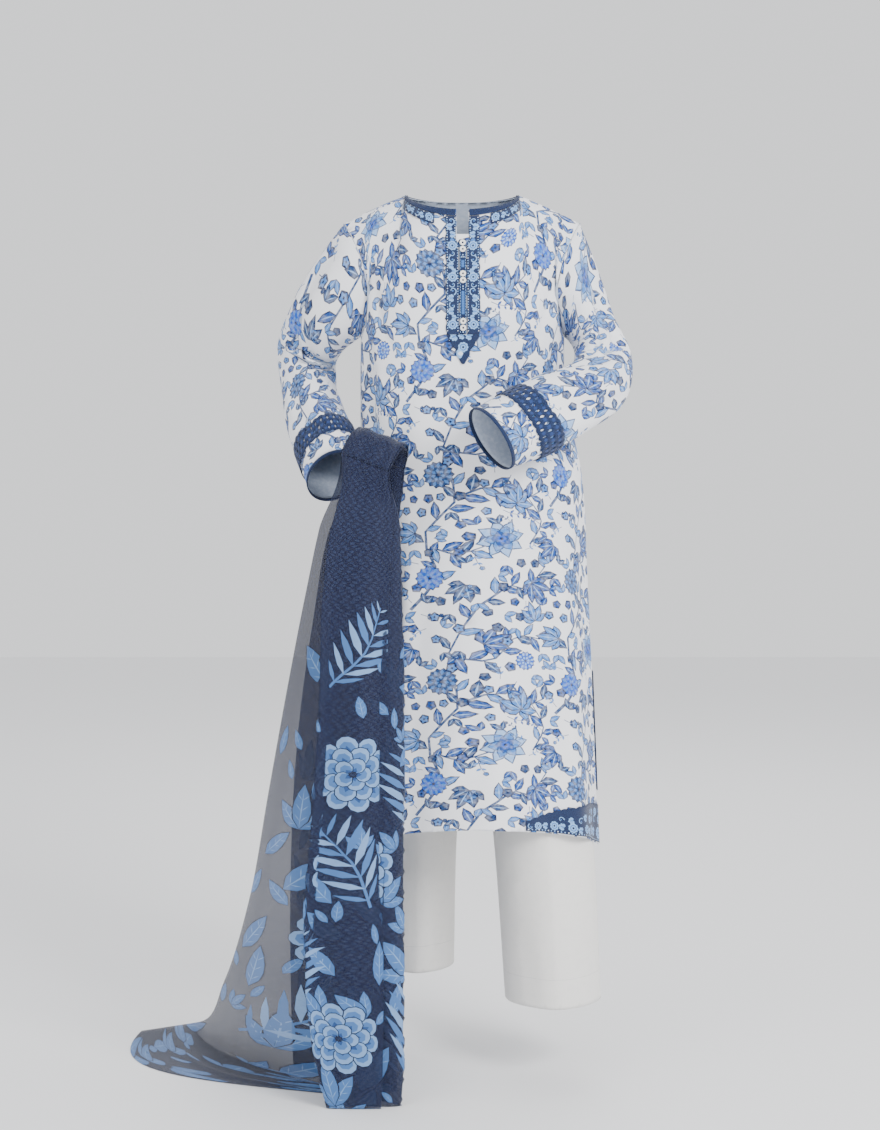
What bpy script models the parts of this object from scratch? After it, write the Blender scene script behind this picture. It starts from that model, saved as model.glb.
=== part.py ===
"""Salwar kameez suit: a long printed kameez, straight trousers and a sheer dupatta, worn and hollow.

Units are metres. +Z is up, the front faces -Y and +X is the wearer's left. Heights in the tables are
above the floor. The origin is the middle of the neck opening, MOUNT_HEIGHT above the floor, where
shoulders carry the suit.
"""

import bpy
import numpy as np

for old in list(bpy.data.objects):
    bpy.data.objects.remove(old)

# Driving sizes
MOUNT_HEIGHT = 1.48
CLOTH = 0.0012
SEAM_GAP = 0.0004
SHOULDER_GAP = 0.0009
ARMHOLE_GAP = 0.0010
ARMHOLE_TUCK = 0.975
ARMHOLE_BACK_GAP = 0.0029
TRIM_LIFT = 0.0005

# Kameez
ARMPIT_Z = 1.265
SHOULDER_Z = 1.456
NECK_POINT_Z = 1.503
SHOULDER_X = 0.198
NECK_HALF_WIDTH = 0.094
NECK_SHARE = 0.5
FRONT_NECK_DEPTH = 0.080
BACK_NECK_DEPTH = 0.052
FRONT_NECK_DROP = 0.028
BACK_NECK_DROP = 0.008
HEM_SIDE_Z = 0.395
FRONT_HEM_RISE = 0.055
BACK_HEM_RISE = 0.040
SLIT_TOP_Z = 0.70
SLIT_HALF_OPENING = 0.006
NECK_SLIT_HALF = 0.0065
RING_POWER = 2.25

# One row for each girth: height, half width, front depth, back depth, centre x, centre y
KAMEEZ_GIRTHS = np.array([
    (0.390, 0.209, 0.158, 0.226, 0.027, 0.000),
    (0.600, 0.202, 0.152, 0.200, 0.025, 0.000),
    (0.850, 0.195, 0.143, 0.160, 0.020, 0.000),
    (1.050, 0.186, 0.132, 0.126, 0.015, 0.000),
    (1.160, 0.174, 0.130, 0.112, 0.002, 0.000),
    (1.265, 0.172, 0.126, 0.106, 0.001, 0.000),
])

# One row for each fold of the front: share across at the top and at the hem, lowest and highest
# height, half width in metres, height in metres
FRONT_FOLDS = np.array([
    (-0.33, -0.44, 0.40, 1.02, 0.022, 0.013),
    (-0.47, -0.60, 0.40, 0.98, 0.026, -0.016),
    (0.02, 0.08, 0.40, 0.86, 0.030, 0.006),
    (0.30, 0.38, 0.40, 0.95, 0.030, -0.007),
    (0.46, 0.58, 0.40, 1.00, 0.028, 0.009),
    (0.80, 0.82, 0.40, 1.05, 0.024, -0.006),
    (0.62, 0.66, 1.10, 1.40, 0.022, -0.007),
    (-0.66, -0.70, 1.08, 1.38, 0.022, -0.007),
])
BACK_FOLDS = np.array([
    (-0.30, -0.42, 0.40, 1.05, 0.030, -0.012),
    (-0.12, -0.18, 0.40, 1.00, 0.028, 0.010),
    (0.12, 0.16, 0.40, 1.02, 0.028, -0.010),
    (0.34, 0.44, 0.40, 1.04, 0.030, 0.012),
    (0.66, 0.70, 0.40, 0.95, 0.026, -0.008),
])

# One row for each ring of a sleeve, from the armhole to the cuff: x, z and y of its outer point,
# x, z and y of its inner point, half depth
SLEEVE_RIGHT = np.array([
    (-0.198, 1.456, 0.000, -0.172, 1.265, 0.000, 0.055),
    (-0.244, 1.399, 0.030, -0.188, 1.255, 0.030, 0.060),
    (-0.286, 1.330, 0.070, -0.204, 1.243, 0.070, 0.060),
    (-0.318, 1.258, 0.100, -0.217, 1.222, 0.100, 0.058),
    (-0.312, 1.179, 0.085, -0.215, 1.190, 0.085, 0.058),
    (-0.294, 1.099, 0.040, -0.206, 1.153, 0.035, 0.056),
    (-0.262, 1.034, -0.020, -0.193, 1.118, -0.030, 0.054),
    (-0.245, 0.998, -0.050, -0.186, 1.074, -0.068, 0.051),
])
SLEEVE_LEFT = np.array([
    (0.198, 1.456, 0.000, 0.176, 1.265, 0.000, 0.055),
    (0.231, 1.376, 0.000, 0.186, 1.252, -0.004, 0.059),
    (0.257, 1.296, 0.002, 0.190, 1.240, -0.024, 0.056),
    (0.276, 1.213, -0.012, 0.189, 1.228, -0.068, 0.055),
    (0.256, 1.146, -0.058, 0.172, 1.218, -0.130, 0.055),
    (0.196, 1.106, -0.135, 0.130, 1.204, -0.170, 0.055),
    (0.136, 1.073, -0.186, 0.076, 1.178, -0.208, 0.054),
    (0.076, 1.052, -0.218, 0.022, 1.150, -0.234, 0.053),
])
# One row for each sleeve fold: share along at the start and end, turn around in radians at the start
# and end, half width in metres, height in metres
SLEEVE_FOLDS = np.array([
    (0.30, 0.46, 1.7, 2.7, 0.017, -0.008),
    (0.36, 0.54, 1.2, 2.4, 0.017, -0.007),
    (0.44, 0.62, 2.0, 3.3, 0.016, -0.007),
    (0.12, 0.40, 0.7, 1.5, 0.018, -0.008),
    (0.30, 0.50, 3.9, 4.9, 0.015, -0.008),
    (0.62, 0.86, 1.0, 1.9, 0.016, -0.007),
    (0.60, 0.82, 4.4, 5.2, 0.016, -0.006),
])
PIPING_LENGTH = 0.007
LACE_FROM_CUFF = 0.048
LACE_WIDTH = 0.042
LACE_THICKNESS = 0.0012
LACE_LIFT = 0.0013
BAR_SHARE = 0.52

# Trousers
WAIST_Z = 1.035
WAISTBAND_DEPTH = 0.040
CROTCH_Z = 0.760
HIP_Z = 0.900
HIP_CENTRE_X = 0.016
LEG_CREASE = 0.30
# One row for each height: half width, front depth, back depth of the ring at waist and hip
HIP_GIRTHS = np.array([
    (0.700, 0.160, 0.108, 0.118),
    (0.900, 0.158, 0.108, 0.114),
    (1.000, 0.146, 0.096, 0.096),
    (1.035, 0.142, 0.092, 0.090),
])
# One row for each height of a leg: centre x, centre y, half width, half depth
LEFT_LEG = np.array([
    (0.133, 0.157, -0.012, 0.0815, 0.092),
    (0.400, 0.140, -0.022, 0.084, 0.092),
    (0.600, 0.119, -0.014, 0.084, 0.094),
    (0.760, 0.101, 0.000, 0.0840, 0.100),
    (0.900, 0.101, 0.000, 0.0840, 0.105),
])
RIGHT_LEG = np.array([
    (0.148, -0.078, 0.170, 0.066, 0.086),
    (0.400, -0.075, 0.098, 0.068, 0.084),
    (0.600, -0.070, 0.046, 0.076, 0.088),
    (0.760, -0.069, 0.008, 0.0840, 0.096),
    (0.900, -0.069, 0.000, 0.0840, 0.105),
])

# Dupatta
CHIFFON = 0.0010
WRIST_RADIUS = 0.042
WRIST_LEFT_END = (-0.186, -0.166, 1.077)
WRIST_RIGHT_END = (-0.106, -0.190, 1.046)
LAYER_STEP = 0.0045
# Front half, one row for each height: free edge x, first fold x, second fold x, outer edge x,
# y of the first layer, y of the outer edge, gap between layers
FRONT_HALF = np.array([
    (1.060, -0.108, -0.184, -0.106, -0.200, -0.214, -0.196, 0.0045),
    (0.980, -0.112, -0.209, -0.101, -0.226, -0.232, -0.190, 0.0060),
    (0.850, -0.119, -0.228, -0.097, -0.256, -0.243, -0.168, 0.0085),
    (0.680, -0.123, -0.234, -0.094, -0.291, -0.248, -0.130, 0.0110),
    (0.500, -0.126, -0.246, -0.094, -0.326, -0.250, -0.085, 0.0120),
    (0.300, -0.129, -0.260, -0.095, -0.366, -0.246, -0.010, 0.0125),
    (0.130, -0.130, -0.250, -0.095, -0.420, -0.238, 0.095, 0.0125),
    (0.030, -0.132, -0.232, -0.097, -0.468, -0.230, 0.200, 0.0125),
    (0.0014, -0.134, -0.224, -0.100, -0.500, -0.226, 0.285, 0.0125),
])
TAIL_TIP = (-0.585, 0.235)
TAIL_BULGE = (-0.060, -0.240)
# Back half, one row for each height: right edge x, left edge x, distance behind the front half
BACK_HALF = np.array([
    (1.040, -0.107, -0.186, 0.066),
    (0.950, -0.106, -0.218, 0.046),
    (0.800, -0.105, -0.246, 0.030),
    (0.600, -0.105, -0.274, 0.022),
    (0.400, -0.106, -0.288, 0.022),
    (0.200, -0.107, -0.292, 0.024),
    (0.0120, -0.108, -0.290, 0.026),
])


def finish(name, colour, roughness):
    """One plain cloth or plastic material."""
    material = bpy.data.materials.new(name)
    material.use_nodes = True
    shader = material.node_tree.nodes["Principled BSDF"]
    shader.inputs["Base Color"].default_value = (*colour, 1.0)
    shader.inputs["Roughness"].default_value = roughness
    return material


PRINTED_LAWN = finish("printed_lawn", (0.62, 0.70, 0.82), 0.75)
NAVY_TRIM = finish("navy_trim", (0.03, 0.07, 0.18), 0.7)
EMBROIDERY = finish("blue_embroidery", (0.10, 0.22, 0.45), 0.6)
WHITE_CAMBRIC = finish("white_cambric", (0.86, 0.87, 0.90), 0.75)
NAVY_CHIFFON = finish("navy_chiffon", (0.05, 0.08, 0.15), 0.55)
BUTTON_SHELL = finish("button_shell", (0.88, 0.86, 0.82), 0.3)


def ease(share):
    """0 to 1 with level ends."""
    share = np.clip(share, 0.0, 1.0)
    return share * share * (3.0 - 2.0 * share)


def along(table, at):
    """The table's other columns at values of its first column, on a smooth curve through its rows."""
    at = np.asarray(at, float)
    stations = table[:, 0]
    values = table[:, 1:]
    slopes = np.gradient(values, stations, axis=0)
    row = np.clip(np.searchsorted(stations, at) - 1, 0, len(stations) - 2)
    step = (stations[row + 1] - stations[row])[..., None]
    f = (at - stations[row])[..., None] / step
    f = np.clip(f, 0.0, 1.0)
    start = values[row] * (2 * f**3 - 3 * f**2 + 1) + slopes[row] * step * (f**3 - 2 * f**2 + f)
    end = values[row + 1] * (3 * f**2 - 2 * f**3) + slopes[row + 1] * step * (f**3 - f**2)
    return np.moveaxis(start + end, -1, 0)


def signed_power(value, power):
    """A power that keeps the sign, for the rounded ring."""
    return np.sign(value) * np.abs(value) ** power


def point(x, y, z):
    """Arrays of coordinates as one array of points."""
    return np.stack(np.broadcast_arrays(x, y, z), axis=-1)


def unit(vector):
    """Vectors of length one."""
    return vector / np.maximum(np.linalg.norm(vector, axis=-1, keepdims=True), 1e-12)


def facing(shape, s, t, outside, nudge=1e-4):
    """The outward direction of a surface: across its two small steps, on the side `outside`."""
    along_s = shape(s + nudge, t) - shape(s - nudge, t)
    along_t = shape(s, t + nudge) - shape(s, t - nudge)
    return unit(np.cross(along_s, along_t)) * outside


def cloth(name, material, outer, normals, thickness=CLOTH, closed=False, keep=None):
    """A wall: the outer grid, the same grid moved inwards, and a rim round every free edge."""
    rows, columns = outer.shape[:2]
    inner = outer - normals * thickness
    inner[..., 2] = np.maximum(inner[..., 2], 0.0)
    outer = outer.copy()
    outer[..., 2] = np.maximum(outer[..., 2], inner[..., 2])
    number = np.arange(rows * columns).reshape(rows, columns)
    if closed:
        number = np.concatenate([number, number[:, :1]], axis=1)
    cells = np.stack([number[:-1, :-1], number[:-1, 1:], number[1:, 1:], number[1:, :-1]], axis=-1)
    cells = cells.reshape(-1, 4) if keep is None else cells[keep]
    flat = outer.reshape(-1, 3)
    diagonals = np.cross(flat[cells[:, 2]] - flat[cells[:, 0]], flat[cells[:, 3]] - flat[cells[:, 1]])
    if (diagonals * normals.reshape(-1, 3)[cells[:, 0]]).sum() < 0:
        cells = cells[:, ::-1]
    edges = np.concatenate([cells[:, [k, (k + 1) % 4]] for k in range(4)])
    known = {tuple(edge) for edge in edges.tolist()}
    free = np.array([edge for edge in edges.tolist() if (edge[1], edge[0]) not in known])
    half = rows * columns
    rim = np.stack([free[:, 1], free[:, 0], free[:, 0] + half, free[:, 1] + half], axis=-1)
    halves = np.concatenate([cells[:, [0, 1, 2]], cells[:, [0, 2, 3]]])
    faces = np.concatenate([halves, halves[:, ::-1] + half, rim[:, [0, 1, 2]], rim[:, [0, 2, 3]]])
    used, faces = np.unique(faces, return_inverse=True)
    points = np.concatenate([flat, inner.reshape(-1, 3)])[used]
    points[:, 2] -= MOUNT_HEIGHT
    mesh = bpy.data.meshes.new(name)
    mesh.from_pydata(points.tolist(), [], faces.reshape(-1, 3).tolist())
    mesh.materials.append(material)
    mesh.shade_smooth()
    piece = bpy.data.objects.new(name, mesh)
    bpy.context.scene.collection.objects.link(piece)
    return piece


def grid(across, down):
    """Two arrays, one row for each value of `down`."""
    return np.meshgrid(across, down)


def faceted(points, columns, rows, across, up):
    """Points on the flat facets between a wall's own points, for a trim that lies on it.

    The columns go round: past the last one comes the first again, a full turn on.
    """
    if columns[0] == 0.0:
        columns = np.append(columns, 2 * np.pi)
        points = np.concatenate([points, points[:, :1]], axis=1)
    column = np.clip(np.searchsorted(columns, across, side="right") - 1, 0, len(columns) - 2)
    row = np.clip(np.searchsorted(rows, up, side="right") - 1, 0, len(rows) - 2)
    s = ((across - columns[column]) / (columns[column + 1] - columns[column]))[..., None]
    t = ((up - rows[row]) / (rows[row + 1] - rows[row]))[..., None]
    low = points[row, column] * (1 - s) + points[row, column + 1] * s
    high = points[row + 1, column] * (1 - s) + points[row + 1, column + 1] * s
    return low * (1 - t) + high * t


# Kameez panels

def fold_lift(folds, across, height, half_girth):
    """How far the folds move the cloth out: a soft ridge or trough that fades at both ends."""
    lift = np.zeros_like(across)
    for top, hem, low, high, half_width, rise in folds:
        down = np.clip((high - height) / (high - low), 0.0, 1.0)
        centre = top + (hem - top) * down
        off = (across - centre) * half_girth / half_width
        fade = ease((high - height) / 0.20) * ease((height - low) / 0.05 + 1.0)
        lift += rise * np.exp(-off * off) * fade * (height > low - 0.1)
    return lift


def girth(side, across, height):
    """The ring at a height: a rounded rectangle, deeper behind than in front."""
    half_width, front, back, centre_x, centre_y = along(KAMEEZ_GIRTHS, height)
    turn = across * np.pi / 2
    depth = np.where(side < 0, front, back)
    x = centre_x + half_width * signed_power(np.sin(turn), 2 / RING_POWER)
    y = centre_y + side * depth * signed_power(np.cos(turn), 2 / RING_POWER)
    return point(x, y, height + 0 * x)


def top_edge(side, across):
    """The neckline between the neck points, and the shoulder seams outside them."""
    out = np.clip((np.abs(across) - NECK_SHARE) / (1 - NECK_SHARE), 0.0, None)
    around = np.clip(np.abs(across) / NECK_SHARE, 0.0, 1.0) * np.pi / 2
    depth = FRONT_NECK_DEPTH if side < 0 else BACK_NECK_DEPTH
    drop = FRONT_NECK_DROP if side < 0 else BACK_NECK_DROP
    x = np.sign(across) * (NECK_HALF_WIDTH * np.sin(around) + (SHOULDER_X - NECK_HALF_WIDTH) * out)
    y = side * (depth * np.cos(around) + SHOULDER_GAP)
    z = NECK_POINT_Z - drop * np.cos(around) - (NECK_POINT_Z - SHOULDER_Z) * out**1.15
    return point(x, y, z)


def panel(side):
    """The surface of the front (-1) or the back (1), from the share across and the height share.

    The height share is 0 at the hem and 1 at the armpit, where rings are scaled from the table.
    From 1 to 2 each column is one cubic curve from the armpit ring to the top edge.
    """
    rise = FRONT_HEM_RISE if side < 0 else BACK_HEM_RISE
    folds = FRONT_FOLDS if side < 0 else BACK_FOLDS

    def smooth_surface(across, up):
        below = np.minimum(up, 1.0)
        hem = HEM_SIDE_Z + rise * (1 - np.clip(np.abs(across), 0, 1) ** 1.7)
        height = hem + (ARMPIT_Z - hem) * below
        lower = girth(side, across, height)
        v = np.clip(up - 1.0, 0.0, None)[..., None]
        base = girth(side, across, ARMPIT_Z + 0 * across)
        top = top_edge(side, across)
        edge = ease((np.abs(across) - 0.72) / 0.28)
        neck = 1 - ease(np.abs(across) / NECK_SHARE)
        leave = point(-0.10 * np.sign(across) * edge, side * 0.21 * edge, 0.22 - 0.07 * edge)
        arrive_y = -side * (0.05 * neck + 0.17 * (1 - neck) * (1 - edge) + 0.21 * edge)
        arrive = point(0.10 * np.sign(across) * edge, arrive_y, 0.03 + 0.09 * neck + 0.12 * edge)
        upper = (
            base * (2 * v**3 - 3 * v**2 + 1) + leave * (v**3 - 2 * v**2 + v)
            + top * (3 * v**2 - 2 * v**3) + arrive * (v**3 - v**2)
        )
        return np.where(up[..., None] > 1.0, upper, lower)

    def folded(across, up):
        plain = smooth_surface(across, up)
        step = 1e-3
        sideways = smooth_surface(across + step, up) - smooth_surface(across - step, up)
        upwards = smooth_surface(across, up + step) - smooth_surface(across, up - step)
        out = unit(np.cross(sideways, upwards)) * -side
        half_girth = 0.5 * np.linalg.norm(sideways, axis=-1) / step
        lift = fold_lift(folds, across, plain[..., 2], half_girth)
        lift = lift * ease((1.0 - np.abs(across)) / 0.12)
        return plain + out * lift[..., None]

    return folded


front = panel(-1)
back = panel(1)


def trimmed(across, up):
    """The share across, held back from the side seam, and more so at the side slits."""
    height = HEM_SIDE_Z + (ARMPIT_Z - HEM_SIDE_Z) * up
    slit = ease((SLIT_TOP_Z - height) / 0.30) * SLIT_HALF_OPENING
    return across * (1 - (SEAM_GAP / 2 + slit) / 0.27)


SIDE_COLUMNS = np.array([0.12, 0.22, 0.32, 0.41, 0.50, 0.60, 0.70, 0.79, 0.86, 0.92, 0.965, 1.0])
SLIT_COLUMN = NECK_SLIT_HALF / 0.19
FRONT_COLUMNS = np.concatenate([-SIDE_COLUMNS[::-1], [-SLIT_COLUMN, SLIT_COLUMN], SIDE_COLUMNS])
BACK_SIDE_COLUMNS = SIDE_COLUMNS[1:]
BACK_COLUMNS = np.concatenate([-BACK_SIDE_COLUMNS[::-1], [0.0], BACK_SIDE_COLUMNS])
# Turns down half an armhole, which the sleeve's columns share. One of them meets the foot of the slit.
HALF_TURNS = np.array([0.0, 0.33, 0.70, 1.082, 1.33, 1.571, 1.885, 2.199, 2.513, 2.827, np.pi])
YOKE_ROWS = 1.5 + 0.5 * np.cos(HALF_TURNS[::-1])
SLIT_ROW = 7
FRONT_ROWS = np.concatenate([np.linspace(0, 1, 13), YOKE_ROWS[1:]])
BACK_ROWS = np.concatenate([np.linspace(0, 1, 11), YOKE_ROWS[1:]])

slit_cells = np.ones((len(FRONT_ROWS) - 1, len(FRONT_COLUMNS) - 1), bool)
slit_cells[12 + SLIT_ROW:, len(SIDE_COLUMNS)] = False
panel_points = {}
for name, surface, side, columns, rows, keep in (
    ("kameez_front", front, -1, FRONT_COLUMNS, FRONT_ROWS, slit_cells),
    ("kameez_back", back, 1, BACK_COLUMNS, BACK_ROWS, None),
):
    across, up = grid(columns, rows)
    across = trimmed(across, up)
    panel_points[side] = surface(across, up)
    cloth(name, PRINTED_LAWN, panel_points[side], facing(surface, across, up, -side), keep=keep)


# Sleeves

def armhole(mirror, turn):
    """The loop round an armhole: down the front edge and up the back edge, just outside the panels."""
    up = 1.5 + 0.5 * np.cos(turn)
    edge = mirror * np.ones_like(up)
    loop = np.where((np.sin(turn) >= 0)[..., None], front(edge, up), back(edge, up))
    behind = np.clip(-np.sin(turn), 0.0, 1.0)
    loop[..., 0] += mirror * (ARMHOLE_GAP + ARMHOLE_BACK_GAP * behind)
    loop[..., 1] *= ARMHOLE_TUCK
    return loop


def sleeve(mirror, rings):
    """The surface of a sleeve, from the turn around it and the share along it.

    A ring is an ellipse through the outer and inner points of the table's row. Near the armhole it
    is blended from the armhole's own loop. The turn is 0 at the outer point and grows to the front.
    """
    shares = np.linspace(0, 1, len(rings))
    table = np.column_stack([shares, rings])

    def smooth_surface(turn, share):
        outer_x, outer_z, outer_y, inner_x, inner_z, inner_y, depth = along(table, share)
        outer = point(outer_x, outer_y, outer_z)
        inner = point(inner_x, inner_y, inner_z)
        centre = (outer + inner) / 2
        reach = (outer - inner) / 2
        ahead_row = along(table, np.clip(share + 0.03, 0, 1))
        behind_row = along(table, np.clip(share - 0.03, 0, 1))
        forward = (ahead_row[:3] + ahead_row[3:6] - behind_row[:3] - behind_row[3:6])[[0, 2, 1]]
        frontwards = unit(np.cross(unit(np.moveaxis(forward, 0, -1)), unit(reach))) * mirror
        turned = ease(share / 0.30)[..., None]
        frontwards = unit(np.array([0.0, -1.0, 0.0]) * (1 - turned) + frontwards * turned)
        ring = centre + reach * np.cos(turn)[..., None] + frontwards * (depth * np.sin(turn))[..., None]
        joined = np.clip(share / 0.26, 0, 1)[..., None]
        joined = joined * (2 - joined)
        return armhole(mirror, turn) * (1 - joined) + ring * joined

    def folded(turn, share):
        plain = smooth_surface(turn, share)
        nudge = 1e-3
        around = smooth_surface(turn + nudge, share) - smooth_surface(turn - nudge, share)
        forward = smooth_surface(turn, share + nudge) - smooth_surface(turn, share - nudge)
        out = unit(np.cross(around, forward)) * mirror
        lift = np.zeros_like(turn)
        for start, end, turn_start, turn_end, half_width, rise in SLEEVE_FOLDS:
            f = np.clip((share - start) / (end - start), 0, 1)
            centre_turn = turn_start + (turn_end - turn_start) * f
            off_turn = (np.mod(turn - centre_turn + np.pi, 2 * np.pi) - np.pi) * 0.055
            off_along = np.where(share < start, start - share, np.maximum(share - end, 0)) * 0.5
            lift += rise * np.exp(-(off_turn**2 + off_along**2) / half_width**2)
        return plain + out * (lift * ease(share / 0.15) * ease((1 - share) / 0.12))[..., None]

    return folded


SLEEVE_LENGTH = 0.50
turns = np.concatenate([HALF_TURNS, 2 * np.pi - HALF_TURNS[-2:0:-1]])
LACE_SHARE = 1 - (LACE_FROM_CUFF + LACE_WIDTH) / SLEEVE_LENGTH
LACE_END_SHARE = 1 - LACE_FROM_CUFF / SLEEVE_LENGTH
LACE_MIDDLE = (LACE_SHARE + LACE_END_SHARE) / 2

for side_name, mirror, rings in (("right", -1, SLEEVE_RIGHT), ("left", 1, SLEEVE_LEFT)):
    shape = sleeve(mirror, rings)
    outside = mirror
    sleeve_rows = np.concatenate([np.linspace(0, 0.75, 15), [LACE_SHARE, LACE_MIDDLE, LACE_END_SHARE, 1.0]])
    turn, share = grid(turns, sleeve_rows)
    at_columns = shape(turn, share)
    cloth(f"sleeve_{side_name}", PRINTED_LAWN, at_columns, facing(shape, turn, share, outside), closed=True)

    # The piping is a folded strip sewn round the end of the sleeve
    turn, share = grid(turns, [1.0, 1.0])
    at_cuff = shape(turn, share)
    outwards = facing(shape, turn, share - 0.002, outside)
    forward = unit(shape(turn, share) - shape(turn, share - 0.01))
    steps = np.array([2 * SEAM_GAP, PIPING_LENGTH])[:, None, None]
    cloth(f"cuff_piping_{side_name}", NAVY_TRIM, at_cuff + forward * steps + outwards * 0.0004, outwards,
          thickness=0.0018, closed=True)

    # The lace is one band with a row of holes cut through it, each beside one of the sleeve's columns
    next_turns = np.append(turns[1:], 2 * np.pi)
    band_turns = np.stack([turns, turns + (next_turns - turns) * BAR_SHARE], axis=-1).reshape(-1)
    turn, step = grid(band_turns, [0.0, 0.34, 0.66, 1.0])
    scallop = 0.06 * np.cos(np.arange(len(band_turns)) * np.pi) * (2 * step - 1) * (np.abs(step - 0.5) > 0.3)
    share = LACE_SHARE + (LACE_END_SHARE - LACE_SHARE) * (0.06 + 0.88 * step + scallop)
    lace_out = facing(shape, turn, share, outside)
    lace = faceted(at_columns, turns, sleeve_rows, turn, share) + lace_out * (LACE_LIFT + LACE_THICKNESS)
    keep = np.ones((3, len(band_turns)), bool)
    keep[1, 1::2] = False
    cloth(f"sleeve_lace_{side_name}", NAVY_TRIM, lace, lace_out, thickness=LACE_THICKNESS, closed=True,
          keep=keep)


# Neck trims, placket and buttons

def laid(name, material, surface, side, across, up, lift, thickness):
    """A trim that lies on a panel: the panel's own points moved out."""
    out = facing(surface, across, up, -side)
    cloth(name, material, surface(across, up) + out * (lift + thickness), out, thickness=thickness)


COLUMN_UPS = np.linspace(2.0, 0.6, 300)
COLUMN_POINTS = front(0 * COLUMN_UPS, COLUMN_UPS)
COLUMN_LENGTHS = np.concatenate([[0], np.cumsum(np.linalg.norm(np.diff(COLUMN_POINTS, axis=0), axis=-1))])


def up_at_depth(metres):
    """Height share of a point so far below the neckline, along the middle of the front."""
    return np.interp(metres, COLUMN_LENGTHS, COLUMN_UPS)


def across_at(x, up):
    """Share across of a point of the front x metres to the side of its middle."""
    across = x / 0.19 + 0 * up
    middle = front(0 * across, up)[..., 0]
    for _ in range(12):
        width = front(across, up)[..., 0] - middle
        across = across * np.where(width == 0, 1.0, x / np.where(width == 0, 1.0, width))
    return across


BINDING_WIDTH = 0.013
BORDER_WIDTH = 0.020
STAND_TOP = 0.0545
for side_name, surface, side in (("front", front, -1), ("back", back, 1)):
    start = SLIT_COLUMN + 0.004 if side < 0 else 0.0
    spans = ((-1, "right"), (1, "left")) if side < 0 else ((0, "back"),)
    for hand, hand_name in spans:
        if hand:
            shares = hand * np.linspace(start, NECK_SHARE - 0.003, 9)
        else:
            shares = np.linspace(-NECK_SHARE + 0.003, NECK_SHARE - 0.003, 15)
        across, down = grid(shares, [0.0015, BINDING_WIDTH])
        laid(f"neck_binding_{hand_name}", NAVY_TRIM, surface, side, across, up_at_depth(down),
             TRIM_LIFT + 0.0010, 0.0012)

for hand, hand_name in ((-1, "right"), (1, "left")):
    shares = hand * np.linspace(0.163, NECK_SHARE - 0.02, 12)
    wave = 0.0025 * np.cos(np.arange(12) * 2.4)
    across, down = grid(shares, [BINDING_WIDTH + 0.001, BINDING_WIDTH + BORDER_WIDTH])
    down[1] += wave
    laid(f"neck_border_{hand_name}", EMBROIDERY, front, -1, across, up_at_depth(down), TRIM_LIFT + 0.0006, 0.0010)

PLACKET_BOTTOM = 0.213
PLACKET_HALF_WIDTH = 0.0270
placket_down = np.linspace(BINDING_WIDTH + 0.001, PLACKET_BOTTOM, 17)
for hand, hand_name in ((-1, "right"), (1, "left")):
    up = up_at_depth(placket_down)
    slit_x = front(SLIT_COLUMN + 0 * up, up)[:, 0] - front(0 * up, up)[:, 0]
    beside_slit = np.interp(placket_down, [STAND_TOP, STAND_TOP + 0.008], [1, 0])
    inner = NECK_SLIT_HALF + 0.0005 + np.maximum(slit_x - NECK_SLIT_HALF, 0) * beside_slit
    outer = PLACKET_HALF_WIDTH + 0.0022 * np.cos(np.arange(17) * 2.2)
    step, down = grid([0.0, 0.5, 1.0], placket_down)
    x = hand * (inner[:, None] + (outer - inner)[:, None] * step)
    laid(f"placket_border_{hand_name}", EMBROIDERY, front, -1, across_at(x, up_at_depth(down)),
         up_at_depth(down), TRIM_LIFT + 0.0004, 0.0010)

step, down = grid([-1.0, -0.5, 0.0, 0.5, 1.0], PLACKET_BOTTOM + np.array([0.0006, 0.012, 0.024, 0.036, 0.048]))
POINT_WIDTHS = np.array([0.0265, 0.0210, 0.0120, 0.0085, 0.0020])
laid("placket_point", EMBROIDERY, front, -1, across_at(step * POINT_WIDTHS[:, None], up_at_depth(down)),
     up_at_depth(down), TRIM_LIFT + 0.0004, 0.0010)

STAND_HALF_WIDTH = 0.0055
step, down = grid([-1.0, 0.0, 1.0], np.linspace(STAND_TOP, PLACKET_BOTTOM - 0.0008, 12))
laid("button_stand", NAVY_TRIM, front, -1, across_at(step * STAND_HALF_WIDTH, up_at_depth(down)),
     up_at_depth(down), TRIM_LIFT, 0.0014)

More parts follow.
